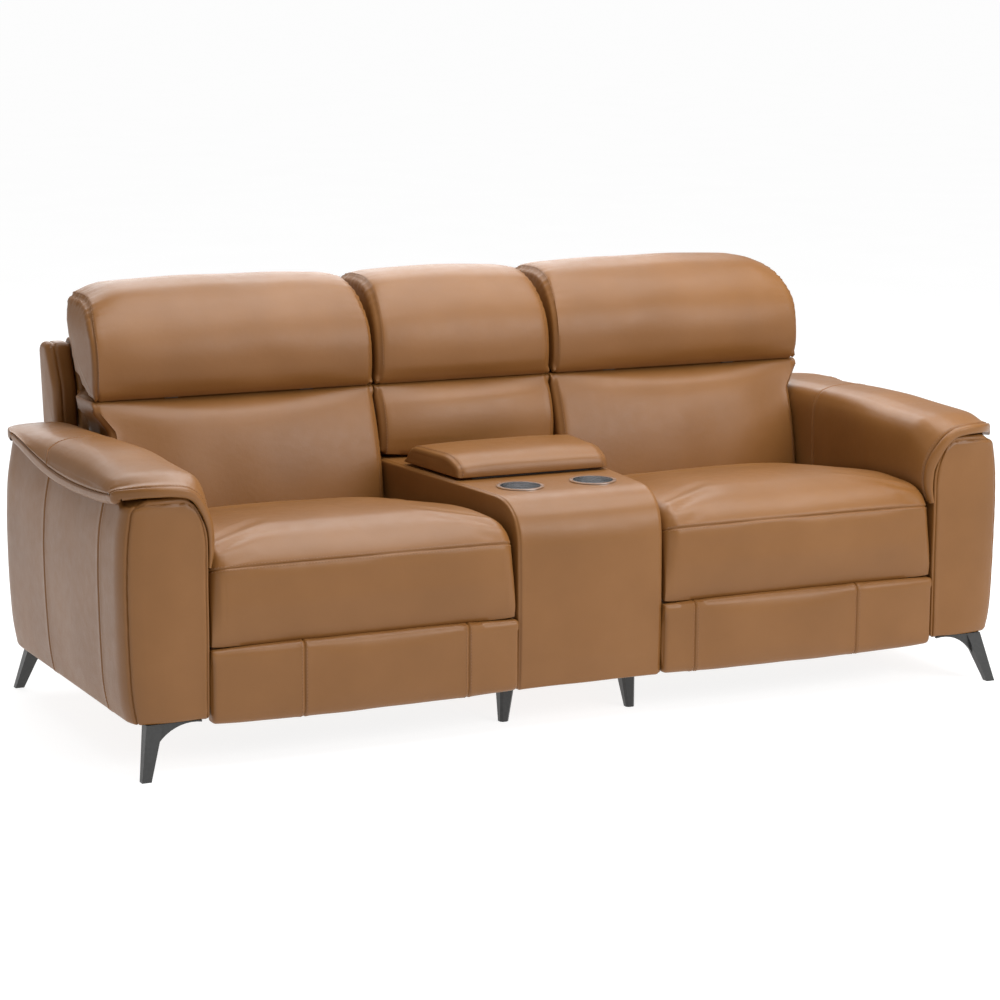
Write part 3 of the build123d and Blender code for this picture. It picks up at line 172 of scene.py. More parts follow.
class Piece:
    """Vertices in millimetres as x, depth and height, with the faces between them."""

    def __init__(self, verts, faces):
        self.v = np.array(verts, float)
        self.f = faces

    def normals(self):
        """Unit normals at the vertices."""
        total = np.zeros_like(self.v)
        for size in (3, 4):
            f = np.array([x for x in self.f if len(x) == size], int)
            if len(f):
                a, b, c = self.v[f[:, 0]], self.v[f[:, 1]], self.v[f[:, 2]]
                face = np.cross(b - a, c - a) if size == 3 else np.cross(c - a, self.v[f[:, 3]] - b)
                for k in range(size):
                    np.add.at(total, f[:, k], face)
        return unit(total)

    def orient(self):
        """Turns the faces so that they point outwards."""
        n = self.normals()
        if np.sum(n * (self.v - self.v.mean(axis=0))) < 0:
            self.f = [tuple(reversed(x)) for x in self.f]
        return self

    def mirror(self):
        """Moves the piece to the other side of the sofa."""
        self.v[:, 0] *= -1
        self.f = [tuple(reversed(x)) for x in self.f]


def flat(x):
    """A sweep's side that lies at one x."""
    return lambda d, z: x + 0 * d


def console_side(sign, gap):
    """A sweep's side along the console, a gap inside its width."""
    return lambda d, z: sign * (console_half(d) - gap)


def grid_faces(rings, count):
    """Quads between closed rings of the same number of points."""
    faces = []
    for i in range(rings - 1):
        for k in range(count):
            j = (k + 1) % count
            faces.append((i * count + k, i * count + j, (i + 1) * count + j, (i + 1) * count + k))
    return faces


def sweep(pts, low, high, edge, step, marks=(), swell=0.0, weight=1.0, power=2.5, dome=4.0, trim=1.0):
    """A cushion: an outline carried from one side to the other, with rounded edges and closed ends.

    low and high give the sides' x for each depth and height. The marks are distances from the low side.
    The middle swells by a weight given round the outline, and the ends by the dome. trim scales the
    rounding of the edges round the outline."""
    count = len(pts)
    d, z = pts[:, 0], pts[:, 1]
    norm = outward(pts)
    width = float(np.mean(high(d, z) - low(d, z)))
    turns = max(5, int(edge * pi / 2 / ROUND_STEP))
    arc = np.linspace(0, pi / 2, turns + 1)
    rings = [("low", edge * (1 - np.cos(a)), edge * (1 - np.sin(a))) for a in arc]
    inner = places(width - 2 * edge, step, [m - edge for m in marks], False)
    rings += [("middle", p / (width - 2 * edge), 0.0) for p in inner[1:-1]]
    rings += [("high", edge * (1 - np.cos(a)), edge * (1 - np.sin(a))) for a in arc[::-1]]
    verts, across = [], []
    for kind, place, inset in rings:
        push = -inset * trim
        xa, xb = (side(d + norm[:, 0] * push, z + norm[:, 1] * push) for side in (low, high))
        if kind == "low":
            x = xa + place
        elif kind == "high":
            x = xb - place
        else:
            x = xa + edge + place * (xb - xa - 2 * edge)
        share = np.clip((x - xa) / (xb - xa), 0, 1)
        push = push + swell * (1 - np.abs(2 * share - 1)**power) * weight
        verts.append(np.column_stack([x, d + norm[:, 0] * push, z + norm[:, 1] * push]))
        across.append(np.full(count, float(np.mean(x - xa))))
    faces = grid_faces(len(rings), count)
    start = len(rings) * count
    extra = []
    for ring, sign in ((0, -1), (len(rings) - 1, 1)):
        rim = verts[ring]
        middle = rim.mean(axis=0)
        last = ring * count
        for share in (0.93, 0.8, 0.55, 0.25):
            loop = middle + (rim - middle) * share
            loop[:, 0] = (low if sign < 0 else high)(loop[:, 1], loop[:, 2]) + sign * dome * (1 - share**2)
            extra.append(loop)
            for k in range(count):
                j = (k + 1) % count
                quad = (last + k, last + j, start + j, start + k)
                faces.append(quad if sign > 0 else quad[::-1])
            last = start
            start += count
        middle[0] = (low if sign < 0 else high)(middle[1], middle[2]) + sign * dome
        extra.append(middle[None, :])
        for k in range(count):
            tri = (last + k, last + (k + 1) % count, start)
            faces.append(tri if sign > 0 else tri[::-1])
        start += 1
    piece = Piece(np.vstack(verts + extra), faces).orient()
    piece.rings, piece.count = len(rings), count
    piece.across = np.full(len(piece.v), END)
    piece.across[: len(rings) * count] = np.concatenate(across)
    piece.width, piece.edge = width, edge
    return piece


def around(piece, s):
    """Each vertex's distance round its sweep's outline."""
    run = np.zeros(len(piece.v))
    run[: piece.rings * piece.count] = np.tile(s, piece.rings)
    return run


def within(piece, margin):
    """The vertices of a sweep that lie at least a margin from both sides."""
    return (piece.across > margin) & (piece.across < piece.width - margin)


def ring_at(piece, x):
    """The vertices of the ring of a sweep that lies nearest to a distance across it."""
    across = piece.across[np.arange(piece.rings) * piece.count]
    return int(np.argmin(np.abs(across - x))) * piece.count + np.arange(piece.count)


def groove(piece, gap, depth=3.0, wide=1.8, puff=0.5, normals=None):
    """Draws a sewn seam into a piece: gap is each vertex's distance from the seam."""
    n = piece.normals() if normals is None else normals
    dip = -depth * np.exp(-(gap / wide)**2) + puff * np.exp(-((np.abs(gap) - 7.0) / 4.0)**2)
    piece.v += n * dip[:, None]


def waves(v, length, seed):
    """Smooth uneven values between about -1 and 1, of one rough wavelength."""
    rng = np.random.default_rng(seed)
    total = np.zeros(len(v))
    for _ in range(6):
        way = unit(rng.normal(size=3)[None, :])[0]
        total += np.sin(v @ way * 2 * pi / (length * rng.uniform(0.7, 1.5)) + rng.uniform(0, 2 * pi))
    return total / 3.0


def uneven(piece, amount, length, seed, share=1.0):
    """Makes a surface slightly wavy."""
    piece.v += piece.normals() * (amount * waves(piece.v, length, seed) * share)[:, None]


def pucker(piece, gap, along, amount, seed, reach=16.0, pitch=17.0):
    """Small gathers that run away from a seam."""
    rng = np.random.default_rng(seed)
    phase = along * 2 * pi / pitch + 1.6 * np.sin(along / (pitch * rng.uniform(2.1, 3.2)))
    strength = np.clip(0.5 + 0.7 * np.sin(along / (pitch * 4.3) + rng.uniform(0, 6)), 0, 1)
    rise = amount * np.sin(phase) * strength * np.exp(-np.abs(gap) / reach)
    piece.v += piece.normals() * rise[:, None]


def join(*pieces):
    """Several pieces as one."""
    verts, faces, start = [], [], 0
    for p in pieces:
        verts.append(p.v)
        faces += [tuple(i + start for i in f) for f in p.f]
        start += len(p.v)
    return Piece(np.vstack(verts), faces)


thread = {}


def stitch(body, line, lift, pitch=7.0, length=4.8, radius=0.75):
    """Sews a row of stitches along a line, raised by the lift given for each of its points."""
    line = np.array(line, float)
    run = np.concatenate([[0], np.cumsum(np.linalg.norm(np.diff(line, axis=0), axis=1))])
    mids = np.arange(pitch, run[-1] - pitch, pitch)
    if not len(mids):
        return

    def point(s):
        return np.column_stack([np.interp(s, run, line[:, i] + lift[:, i]) for i in range(3)])
    out = unit(np.column_stack([np.interp(mids, run, lift[:, i]) for i in range(3)]))
    ahead = unit(point(mids + 1) - point(mids - 1))
    side = unit(np.cross(ahead, out))
    sides = 6
    ring = np.linspace(0, 2 * pi, sides, endpoint=False)
    stack = []
    for share, size in ((-0.5, 0.35), (0, 1.0), (0.5, 0.35)):
        centre = point(mids + share * length) - (out * 0.7 if share else 0)
        for a in ring:
            stack.append(centre + radius * size * (np.cos(a) * side + np.sin(a) * out))
    verts = np.stack(stack, axis=1).reshape(-1, 3)
    faces = []
    for base in np.arange(len(mids)) * 3 * sides:
        for near in (base, base + sides):
            far = near + sides
            for k in range(sides):
                j = (k + 1) % sides
                faces.append((near + k, near + j, far + j, far + k))
    thread.setdefault(body, []).append(Piece(verts, faces))


def sew(bodies, line, lift):
    """Sews a row on each body given with 1, and its mirror image on each given with -1."""
    for body, sign in bodies:
        stitch(body, line * [sign, 1, 1], lift * [sign, 1, 1])


def twins(body):
    """A seat's body on the left, and on the right as its mirror image."""
    return (f"left_{body}", 1), (f"right_{body}", -1)


FRAME_SIDES = ("frame", 1), ("frame", -1)


def row(piece, index, normals, height=0.5):
    """A line of a piece's vertices, with the lift that sits stitches on the surface."""
    return piece.v[index], normals[index] * height


def mesh_object(name, piece, material):
    """Turns a piece into a Blender object, in metres."""
    mesh = bpy.data.meshes.new(name)
    verts = (piece.v + ORIGIN) / 1000
    mesh.from_pydata(verts.tolist(), [], [tuple(int(i) for i in f) for f in piece.f])
    mesh.update()
    mesh.shade_smooth()
    mesh.set_sharp_from_angle(angle=radians(50))
    mesh.materials.append(material)
    obj = bpy.data.objects.new(name, mesh)
    scene.collection.objects.link(obj)
    return obj


def take(obj):
    """Reads a finished object's vertices, in a piece's units."""
    deps = bpy.context.evaluated_depsgraph_get()
    mesh = obj.evaluated_get(deps).to_mesh()
    coords = np.empty(len(mesh.vertices) * 3)
    mesh.vertices.foreach_get("co", coords)
    return coords.reshape(-1, 3) * 1000 - ORIGIN


def inflate(piece, hold, force, limit):
    """Blows a cushion's cover up with a cloth simulation, by no more than the limit.

    hold pins its sewn and hidden parts."""
    obj = mesh_object("cover", piece, leather)
    group = obj.vertex_groups.new(name="hold")
    for i, w in enumerate(hold):
        if w > 0.01:
            group.add([i], float(w), "REPLACE")
    cloth = obj.modifiers.new("cloth", "CLOTH")
    settings = cloth.settings
    settings.quality = 5
    settings.mass = 0.4
    settings.tension_stiffness = 30
    settings.compression_stiffness = 25
    settings.shear_stiffness = 12
    settings.bending_stiffness = 1.5
    settings.use_pressure = True
    settings.uniform_pressure_force = force
    settings.vertex_group_mass = "hold"
    settings.effector_weights.gravity = 0
    cloth.collision_settings.use_collision = False
    frames = 20
    cloth.point_cache.frame_start = 1
    cloth.point_cache.frame_end = frames
    for number in range(1, frames + 1):
        scene.frame_set(number)
    moved = take(obj) - piece.v
    size = np.linalg.norm(moved, axis=1, keepdims=True)
    piece.v += moved * np.minimum(1, limit / np.maximum(size, 1e-6)) * np.tanh(size / limit * 3)
    bpy.data.objects.remove(obj)
    scene.frame_set(1)


# Materials

def noise(tree, scale, detail, coords):
    """Uneven values over a surface."""
    node = tree.nodes.new("ShaderNodeTexNoise")
    node.inputs["Scale"].default_value = scale
    node.inputs["Detail"].default_value = detail
    tree.links.new(coords, node.inputs["Vector"])
    return node.outputs["Fac"]


def ramp(tree, source, *stops):
    """A colour for each value of a source."""
    node = tree.nodes.new("ShaderNodeValToRGB")
    marks = node.color_ramp.elements
    while len(marks) < len(stops):
        marks.new(0.5)
    for mark, (place, colour) in zip(marks, stops):
        mark.position = place
        mark.color = (*colour, 1)
    tree.links.new(source, node.inputs["Fac"])
    return node.outputs["Color"]


def spread(tree, source, low, high):
    """A source's values spread between two others."""
    node = tree.nodes.new("ShaderNodeMapRange")
    node.inputs["To Min"].default_value = low
    node.inputs["To Max"].default_value = high
    tree.links.new(source, node.inputs["Value"])
    return node.outputs["Result"]


def bump(tree, source, strength, distance, under=None):
    """Fine relief, over another where given."""
    node = tree.nodes.new("ShaderNodeBump")
    node.inputs["Strength"].default_value = strength
    node.inputs["Distance"].default_value = distance
    tree.links.new(source, node.inputs["Height"])
    if under:
        tree.links.new(under, node.inputs["Normal"])
    return node.outputs["Normal"]


def new_material(name):
    """A material with its nodes, shader and coordinates."""
    mat = bpy.data.materials.new(name)
    mat.use_nodes = True
    tree = mat.node_tree
    shader = tree.nodes["Principled BSDF"]
    coords = tree.nodes.new("ShaderNodeTexCoord").outputs["Object"]
    return mat, tree, shader, coords


def make_leather(name, deep, mid, pale, rough):
    """Leather with patches of tone and a fine grain."""
    mat, tree, shader, coords = new_material(name)
    patch = noise(tree, 5.5, 4, coords)
    tint = ramp(tree, patch, (0.3, deep), (0.52, mid), (0.75, pale))
    tree.links.new(tint, shader.inputs["Base Color"])
    cells = tree.nodes.new("ShaderNodeTexVoronoi")
    cells.feature = "DISTANCE_TO_EDGE"
    cells.inputs["Scale"].default_value = 620
    cells.inputs["Randomness"].default_value = 1.0
    tree.links.new(coords, cells.inputs["Vector"])
    grain = bump(tree, cells.outputs["Distance"], 0.16, 0.0009)
    hide = bump(tree, noise(tree, 90, 5, coords), 0.10, 0.0025, grain)
    tree.links.new(hide, shader.inputs["Normal"])
    shine = spread(tree, noise(tree, 38, 3, coords), rough - 0.06, rough + 0.08)
    tree.links.new(shine, shader.inputs["Roughness"])
    shader.inputs["Specular IOR Level"].default_value = 0.36
    return mat


def make_plain(name, colour, other, rough, metallic, scale, relief, stretch=None):
    """A finish that varies between two colours."""
    mat, tree, shader, coords = new_material(name)
    if stretch:
        mapping = tree.nodes.new("ShaderNodeMapping")
        mapping.inputs["Scale"].default_value = stretch
        tree.links.new(coords, mapping.inputs["Vector"])
        coords = mapping.outputs["Vector"]
    spots = noise(tree, scale, 5, coords)
    tree.links.new(ramp(tree, spots, (0.3, colour), (0.7, other)), shader.inputs["Base Color"])
    shine = spread(tree, noise(tree, scale * 2.3, 3, coords), rough - 0.06, rough + 0.08)
    tree.links.new(shine, shader.inputs["Roughness"])
    tree.links.new(bump(tree, spots, relief, 0.001), shader.inputs["Normal"])
    shader.inputs["Metallic"].default_value = metallic
    return mat


leather = make_leather("tan_leather", deep=(0.184, 0.076, 0.018), mid=(0.201, 0.084, 0.021),
                       pale=(0.220, 0.095, 0.026), rough=0.38)
thread_mat = make_plain("thread", (0.20, 0.095, 0.04), (0.27, 0.13, 0.06), 0.6, 0.0, 900, 0.2)
looks = {
    "black_metal": ((0.020, 0.020, 0.0195), (0.030, 0.030, 0.029), 0.38, 0.0, 160, 0.04),
    "steel": ((0.16, 0.16, 0.165), (0.22, 0.22, 0.225), 0.46, 1.0, 60, 0.05, (1, 6, 1)),
    "polished_steel": ((0.80, 0.80, 0.81), (0.88, 0.88, 0.89), 0.2, 1.0, 240, 0.01),
    "timber": ((0.44, 0.29, 0.15), (0.58, 0.41, 0.23), 0.6, 0.0, 22, 0.15, (1, 9, 9)),
    "webbing": ((0.030, 0.030, 0.031), (0.075, 0.075, 0.077), 0.8, 0.0, 420, 0.5),
    "black_plastic": ((0.018, 0.018, 0.019), (0.026, 0.026, 0.027), 0.45, 0.0, 500, 0.1),
}
finishes = {name: make_plain(name, *look) for name, look in looks.items()}
finishes["leather"] = leather


def add(name, piece, body, nodes):
    """Places a leather piece on a body, in place of the CAD nodes that it stands for."""
    obj = mesh_object(name, piece, leather)
    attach(obj, body)
    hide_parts(*nodes)
    return obj


def add_pair(name, piece, body, nodes, cut=()):
    """Places a piece on the left and its mirror image on the right. body and nodes lack their side."""
    made = []
    for side in ("left", "right"):
        own = Piece(piece.v.copy(), list(piece.f))
        if side == "right":
            own.mirror()
        home = body if body == "frame" else f"{side}_{body}"
        obj = add(f"{side}_{name}", own, home, [f"{side}_{n}" for n in nodes])
        if cut:
            bore(obj, [(c * np.array([1 if side == "left" else -1, 1, 1]), s) for c, s in cut])
        made.append(obj)
    return made


def bore(obj, boxes, rounds=()):
    """Cuts boxes and upright round holes out of an object. Sizes are in millimetres."""
    bm = bmesh.new()
    for centre, size in boxes:
        for v in bmesh.ops.create_cube(bm, size=1.0)["verts"]:
            v.co = (np.array(v.co) * size + centre + ORIGIN) / 1000
    for centre, radius, deep in rounds:
        made = bmesh.ops.create_cone(bm, cap_ends=True, segments=64, radius1=radius / 1000,
                                     radius2=radius / 1000, depth=deep / 1000)["verts"]
        for v in made:
            v.co = np.array(v.co) + (centre + ORIGIN) / 1000
    mesh = bpy.data.meshes.new("cutter")
    bm.to_mesh(mesh)
    bm.free()
    cutter = bpy.data.objects.new("cutter", mesh)
    scene.collection.objects.link(cutter)
    mod = obj.modifiers.new("cut", "BOOLEAN")
    mod.operation = "DIFFERENCE"
    mod.solver = "EXACT"
    mod.object = cutter
    deps = bpy.context.evaluated_depsgraph_get()
    done = bpy.data.meshes.new_from_object(obj.evaluated_get(deps))
    obj.modifiers.remove(mod)
    obj.data = done
    bpy.data.objects.remove(cutter)


# Studio

floor_reach = 150
floor_corners = [(x * floor_reach, y * floor_reach, 0) for x, y in ((-1, -1), (1, -1), (1, 1), (-1, 1))]
floor_mesh = bpy.data.meshes.new("floor")
floor_mesh.from_pydata(floor_corners, [], [(0, 1, 2, 3)])
floor = bpy.data.objects.new("floor", floor_mesh)
scene.collection.objects.link(floor)
floor_mat = make_plain("floor", (0.29, 0.29, 0.29), (0.31, 0.31, 0.31), 0.8, 0.0, 2, 0.0)
floor_glow = floor_mat.node_tree.nodes["Principled BSDF"]
floor_glow.inputs["Emission Color"].default_value = (1.0, 1.0, 1.0, 1)
floor_glow.inputs["Emission Strength"].default_value = 0.86
floor_glow.inputs["Specular IOR Level"].default_value = 0.0
floor_mesh.materials.append(floor_mat)

camera_data = bpy.data.cameras.new("camera")
camera_data.lens = 108.57
camera_data.sensor_width = 36
camera = bpy.data.objects.new("camera", camera_data)
camera.location = (-2.9190, -6.0263, 1.6576)
turns = ((-25.9, "Z"), (79.47, "X"), (0.3, "Z"))
turn, tilt, roll = (Matrix.Rotation(radians(angle), 3, axis) for angle, axis in turns)
camera.rotation_euler = (turn @ tilt @ roll).to_euler()
scene.collection.objects.link(camera)
scene.camera = camera

world = bpy.data.worlds.new("studio")
world.use_nodes = True
sky = world.node_tree.nodes["Background"].inputs
sky["Color"].default_value = (1.0, 1.0, 1.0, 1)
sky["Strength"].default_value = 0.40
scene.world = world
scene.view_settings.view_transform = "Standard"


def softbox(name, place, aim, wide, high, power):
    """A soft light that the camera doesn't see, in metres and watts."""
    data = bpy.data.lights.new(name, "AREA")
    data.shape = "RECTANGLE"
    data.size, data.size_y = wide, high
    data.energy = power
    light = bpy.data.objects.new(name, data)
    light.location = place
    ahead = np.array(aim, float) - np.array(place, float)
    level = np.hypot(ahead[0], ahead[1])
    heading = np.arctan2(-ahead[0], ahead[1]) if level else 0
    light.rotation_euler = (np.arctan2(level, -ahead[2]), 0, heading)
    light.visible_camera = False
    scene.collection.objects.link(light)


softbox("overhead", place=(0.7, -0.6, 3.8), aim=(0.1, 0.1, 0.4), wide=4.0, high=3.0, power=180)
softbox("back_light", place=(0.3, 2.7, 3.1), aim=(0, -0.2, 0.4), wide=4.2, high=1.4, power=75)
softbox("horizon", place=(1.8, 6.2, 2.4), aim=(0, 0, 0.5), wide=3.6, high=2.2, power=65)
softbox("front_key", place=(2.4, -4.1, 2.7), aim=(0.3, 0, 0.6), wide=3.0, high=1.8, power=125)

# Seats: one cover runs over the cushion and down the front panel

seat_line = outline((10, PANEL_BASE, 8, 4), (0, 454, 80, 0), (200, 466, 160, 0), (SEAT_REAR, 419, 14, 0),
                    (SEAT_REAR, SEAT_BASE, 8, 0), (53, SEAT_BASE, 5, 0), (51, 251, 8, 0))
seat_pts, seat_s, (seat_seam,) = resample(seat_line, 9.0, [(6, 415)])
sd, sz = seat_pts.T
on_panel = sd < 45
seat_weight = np.clip((600 - sd) / 60, 0.6, 1) * (sd < SEAT_REAR - 0.5) * ((sz > 345) | on_panel)
seat_weight[(sd > 48) & (sz < 342)] = 0
seat_weight[on_panel] *= np.clip((sz[on_panel] - 246) / 110, 0.12, 0.8)
seat_trim = np.where(sz > 400, 1.0, np.where(on_panel, np.clip((sz - 262) / 140, 0.1, 1), 0.25))


def seat_inner(d, z):
    """A seat's side along the console."""
    return -(console_half(np.clip(d, 0, CONSOLE_LONG)) + SEAT_GAP)


seat = sweep(seat_pts, flat(-SEAT_OUT), seat_inner, 34, 11.0, swell=12, weight=seat_weight, power=3.0,
             dome=1.0, trim=seat_trim)
depth0, height0 = seat.v[:, 1].copy(), seat.v[:, 2].copy()
front_gap = np.where(seat.across > END, around(seat, seat_s) - seat_seam, FAR)
top = (height0 > 418) & (depth0 < 556) & within(seat, 20)
face = (depth0 < 40) & (height0 > 266) & (height0 < 408) & within(seat, 24)
hold = np.ones(len(seat.v))
hold[top] = 0
hold[face] = 0.35
inflate(seat, hold, 5.0, 7.0)
uneven(seat, 1.1, 190, 11, (hold < 1) * 1.0)
ripple = np.exp(-((depth0 - 470) / 70)**2) * (hold == 0)
seat.v[:, 2] += ripple * 2.2 * np.sin((depth0 + 12 * np.sin(seat.v[:, 0] / 90)) / 11.5)
groove(seat, front_gap, 2.0, 1.5, 0.5)
pucker(seat, front_gap, seat.v[:, 0], 0.5, 5)
seat_n = seat.normals()
seam_k = int(np.argmin(np.abs(seat_s - seat_seam)))
for shift in (-4, 4):
    index = np.arange(3, seat.rings - 3) * seat.count + (seam_k + shift) % seat.count
    sew(twins("seat"), *row(seat, index, seat_n))
add_pair("seat_cover", seat, "seat", ("seat_cushion", "seat_front_panel"))

# Footrest pads, each with two sewn channels at their distances from the arm

pad_line = outline((0, PAD_BASE, 18, 0), (0, PAD_TOP, 9, 0), (PAD_DEEP, PAD_TOP, 6, 0),
                   (PAD_DEEP, PAD_BASE, 8, 0))
pad_pts, _, _ = resample(pad_line, 7.0)
pad_weight = np.clip((30 - pad_pts[:, 0]) / 30, 0, 1)
pad_trim = np.where(pad_pts[:, 1] > 225, 0.3, 0.9)


def footrest(side, seams):
    """Adds one pad with its seams."""
    pad = sweep(pad_pts, flat(-SEAT_OUT - 2.5), flat(-PAD_IN), 9, 10.0, marks=seams, swell=8,
                weight=pad_weight, power=3.5, trim=pad_trim)
    free = (pad.v[:, 1] < 14) & within(pad, 14)
    for x in seams:
        free &= np.abs(pad.across - x) > 9
    inflate(pad, np.where(free, 0.0, 1.0), 5.0, 6.0)
    front = pad.v[:, 1] < 26
    for x in seams:
        gap = np.where(front, pad.across - x, FAR)
        groove(pad, gap, 2.6, 1.8, 0.8)
        pucker(pad, gap, pad.v[:, 2], 0.5, int(x))
    uneven(pad, 0.7, 150, 23, free * 1.0)
    if side == "right":
        pad.mirror()
    n = pad.normals()
    for x in seams:
        for shift in (-5.5, 5.5):
            index = ring_at(pad, x + shift)
            index = index[pad.v[index, 1] < 12]
            index = index[np.argsort(pad.v[index, 2])]
            stitch(f"{side}_footrest", *row(pad, index, n))
    add(f"{side}_footrest_cover", pad, f"{side}_footrest", (f"{side}_footrest_pad",))


footrest("left", (196.5, 566.5))
footrest("right", (203.0, 613.0))

# Backs: lumbar cushions and head cushions, in the seats and over the console


def gussets(piece, inward=0.0):
    """The distances across a cushion of its two gusset seams, or of lines beside them."""
    return piece.edge * GUSSET + inward, piece.width - piece.edge * GUSSET - inward


def lumbar(front, base, low, high, edge, seed):
    """A cover that leans on the back's line, from its base up to the crease under the head cushion."""
    rear = back_line
    line = outline((front, base + 2, 14, 12), (655, LUMBAR_TOP, 12, 0), (rear(664) - 2, 665.0, 6, 0),
                   (rear(base + 2) - 2, base + 2, 6, 0))
    pts, s, _ = resample(line, 9.0)
    d, z = pts.T
    weight = np.clip((rear(z) - 24 - d) / 60, 0, 1) * np.clip((662 - z) / 40, 0, 1)
    trim = np.where(rear(z) - d < 30, 0.1, np.where(z > 652, 0.15, 1.0))
    piece = sweep(pts, low, high, edge, 11.0, swell=15, weight=weight, power=2.4, dome=0.0, trim=trim)
    free = (rear(piece.v[:, 2]) - piece.v[:, 1] > 70) & (piece.v[:, 2] > base + 30)
    free &= within(piece, edge * 0.75)
    inflate(piece, np.where(free, 0.0, 1.0), 4.0, 8.0)
    along = around(piece, s)
    for x in gussets(piece):
        gap = np.where(piece.v[:, 1] < rear(piece.v[:, 2]) - 12, piece.across - x, FAR)
        groove(piece, gap, 2.8, 1.9, 0.7)
        pucker(piece, gap, along, 0.7, seed + int(x), reach=22)
    uneven(piece, 1.3, 210, seed, free * np.clip((655 - piece.v[:, 2]) / 40, 0, 1))
    return piece


def head(low, high, gap, edge, seed):
    """A cover from the crease up and over the top of the back, with a gap before the back's line."""
    tuck, rear_base = back_line(775) - gap, back_line(674) - gap - 1
    spine = np.array([(680, 673), (664, 672.2), (656.5, 665.8), (648, 673), (643.5, 690), (642, 742),
                      (655, 800), (686, 850), (724, 884), (772, 900), (820, 902), (872, 898), (908, 882),
                      (928, 838), (925, 806), (tuck, 778 + gap), (rear_base, 674)], float)
    t = np.concatenate([[0], np.cumsum(np.linalg.norm(np.diff(spine, axis=0), axis=1))])
    fine = np.linspace(0, t[-2] - 12, 280)
    front = np.column_stack([smooth(*zip(t, spine[:, 0]))(fine), smooth(*zip(t, spine[:, 1]))(fine)])
    behind = np.linspace(spine[-2], spine[-1], 40)
    under = np.linspace(spine[-1], spine[0], 40)[1:-1]
    pts, s, _ = resample(np.vstack([front, behind, under]), 9.0)
    d, z = pts.T
    weight = np.clip((back_line(z) - gap - d) / 90, 0, 1) * np.clip((z - 674) / 26, 0, 1)
    weight = np.where(z > 850, np.maximum(weight, np.clip((z - 850) / 40, 0, 1)), weight)
    trim = np.where((z < 678) | ((back_line(z) - gap - d < 12) & (z < 790)), 0.12, 1.0)
    piece = sweep(pts, low, high, edge, 11.0, swell=7, weight=weight, power=2.8, trim=trim)
    ends = np.where(piece.across > END, np.minimum(piece.across, piece.width - piece.across), 0)
    outer = piece.v[:, 0] < -550
    round_off = np.where(outer, 24 * np.clip(1 - ends / 80, 0, 1)**2, 9 * np.clip(1 - ends / 45, 0, 1)**2)
    piece.v[:, 2] -= round_off * np.clip((piece.v[:, 2] - 800) / 95, 0, 1)
    free = (z.min() + 26 < piece.v[:, 2]) & within(piece, edge * 0.75)
    free &= (piece.v[:, 1] < back_line(piece.v[:, 2]) - 60) | (piece.v[:, 2] > 865)
    inflate(piece, np.where(free, 0.0, 1.0), 4.0, 6.0)
    along = around(piece, s)
    for x in gussets(piece):
        sewn = (piece.v[:, 1] < back_line(piece.v[:, 2]) - 8) | (piece.v[:, 2] > 800)
        seam = np.where(sewn, piece.across - x, FAR)
        groove(piece, seam, 3.0, 1.9, 0.8)
        corner = np.exp(-((piece.v[:, 2] - 868) / 45)**2)
        pucker(piece, seam, along, 0.6, seed + int(x), reach=24)
        folds = corner * 2.0 * np.sin(along / 3.6) * np.exp(-np.abs(seam) / 24)
        piece.v += piece.normals() * folds[:, None]
    uneven(piece, 1.2, 200, seed, free * 1.0)
    return piece


def gusset_rows(piece, bodies, keep):
    """Stitches beside the seams of both gussets, for each side that the piece is used on."""
    n = piece.normals()
    for x in gussets(piece, 6):
        index = ring_at(piece, x)
        index = index[keep(piece.v[index])]
        gaps = np.linalg.norm(np.diff(piece.v[index], axis=0), axis=1)
        if len(gaps) and gaps.max() > 60:
            index = np.roll(index, -int(np.argmax(gaps)) - 1)
        sew(bodies, *row(piece, index, n))


def on_lumbar(v):
    """Where a lumbar cushion's stitches show."""
    return (v[:, 1] < back_line(v[:, 2]) - 14) & (v[:, 2] < 648)


def on_head(v):
    """Where a head cushion's stitches show."""
    return ((v[:, 1] < back_line(v[:, 2]) - 14) & (v[:, 2] > 700)) | (v[:, 2] > 810)


arm_room = smooth((580, SEAT_OUT), (595, 861), (612, 864.5), (624, 869), (634, 875), (644, 884), (650, 900),
                  (665, 960))


def clear_of_arm(d, z):
    """How far out the back may reach so that it passes over the arm when it reclines."""
    return arm_room(z - RECLINE_SLOPE * (d - RECLINE_BACK)) - 1.5


def lumbar_side(d, z):
    """The outer side of a lumbar cushion, which flares above the arm."""
    return -SEAT_OUT - 30 * np.clip((z - 600) / 42, 0, 1) * np.clip((830 - d) / 60, 0, 1)


def press_in(obj):
    """Gives a lumbar cover, or its stitches, a mesh of its own."""
    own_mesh(obj)


back = lumbar(577, LUMBAR_BASE, lumbar_side, flat(-LUMBAR_IN), 18, 31)
gusset_rows(back, twins("back"), on_lumbar)
covers = add_pair("lumbar_cover", back, "back", ("lumbar_cushion",))
for obj, side in zip(covers, ("left", "right")):
    press_in(obj)


def head_draw(z):
    """How far a head cushion's sides draw in towards its top."""
    return 4 + 24 * np.clip((z - 745) / 160, 0, 1)**2


def head_side(d, z):
    """The outer side of a headrest, which flares over the arm and draws in again at the top."""
    behind = np.clip(d - 733 - 0.52 * (z - 675), 0, 200)
    rear = np.where(behind < 60, behind**2 / 120, behind - 30)
    flare = 5 * (1 - (1 - np.clip((z - HEAD_BASE) / 40, 0, 1))**2)
    side = HEAD_OUT + flare - 18 * np.clip((z - 800) / 105, 0, 1)**2 - rear
    return -np.minimum(side, clear_of_arm(d, z))


def mid_side(sign):
    """A side of the head cushion over the console."""
    return lambda d, z: sign * (MID_HALF - head_draw(z) * 0.45)


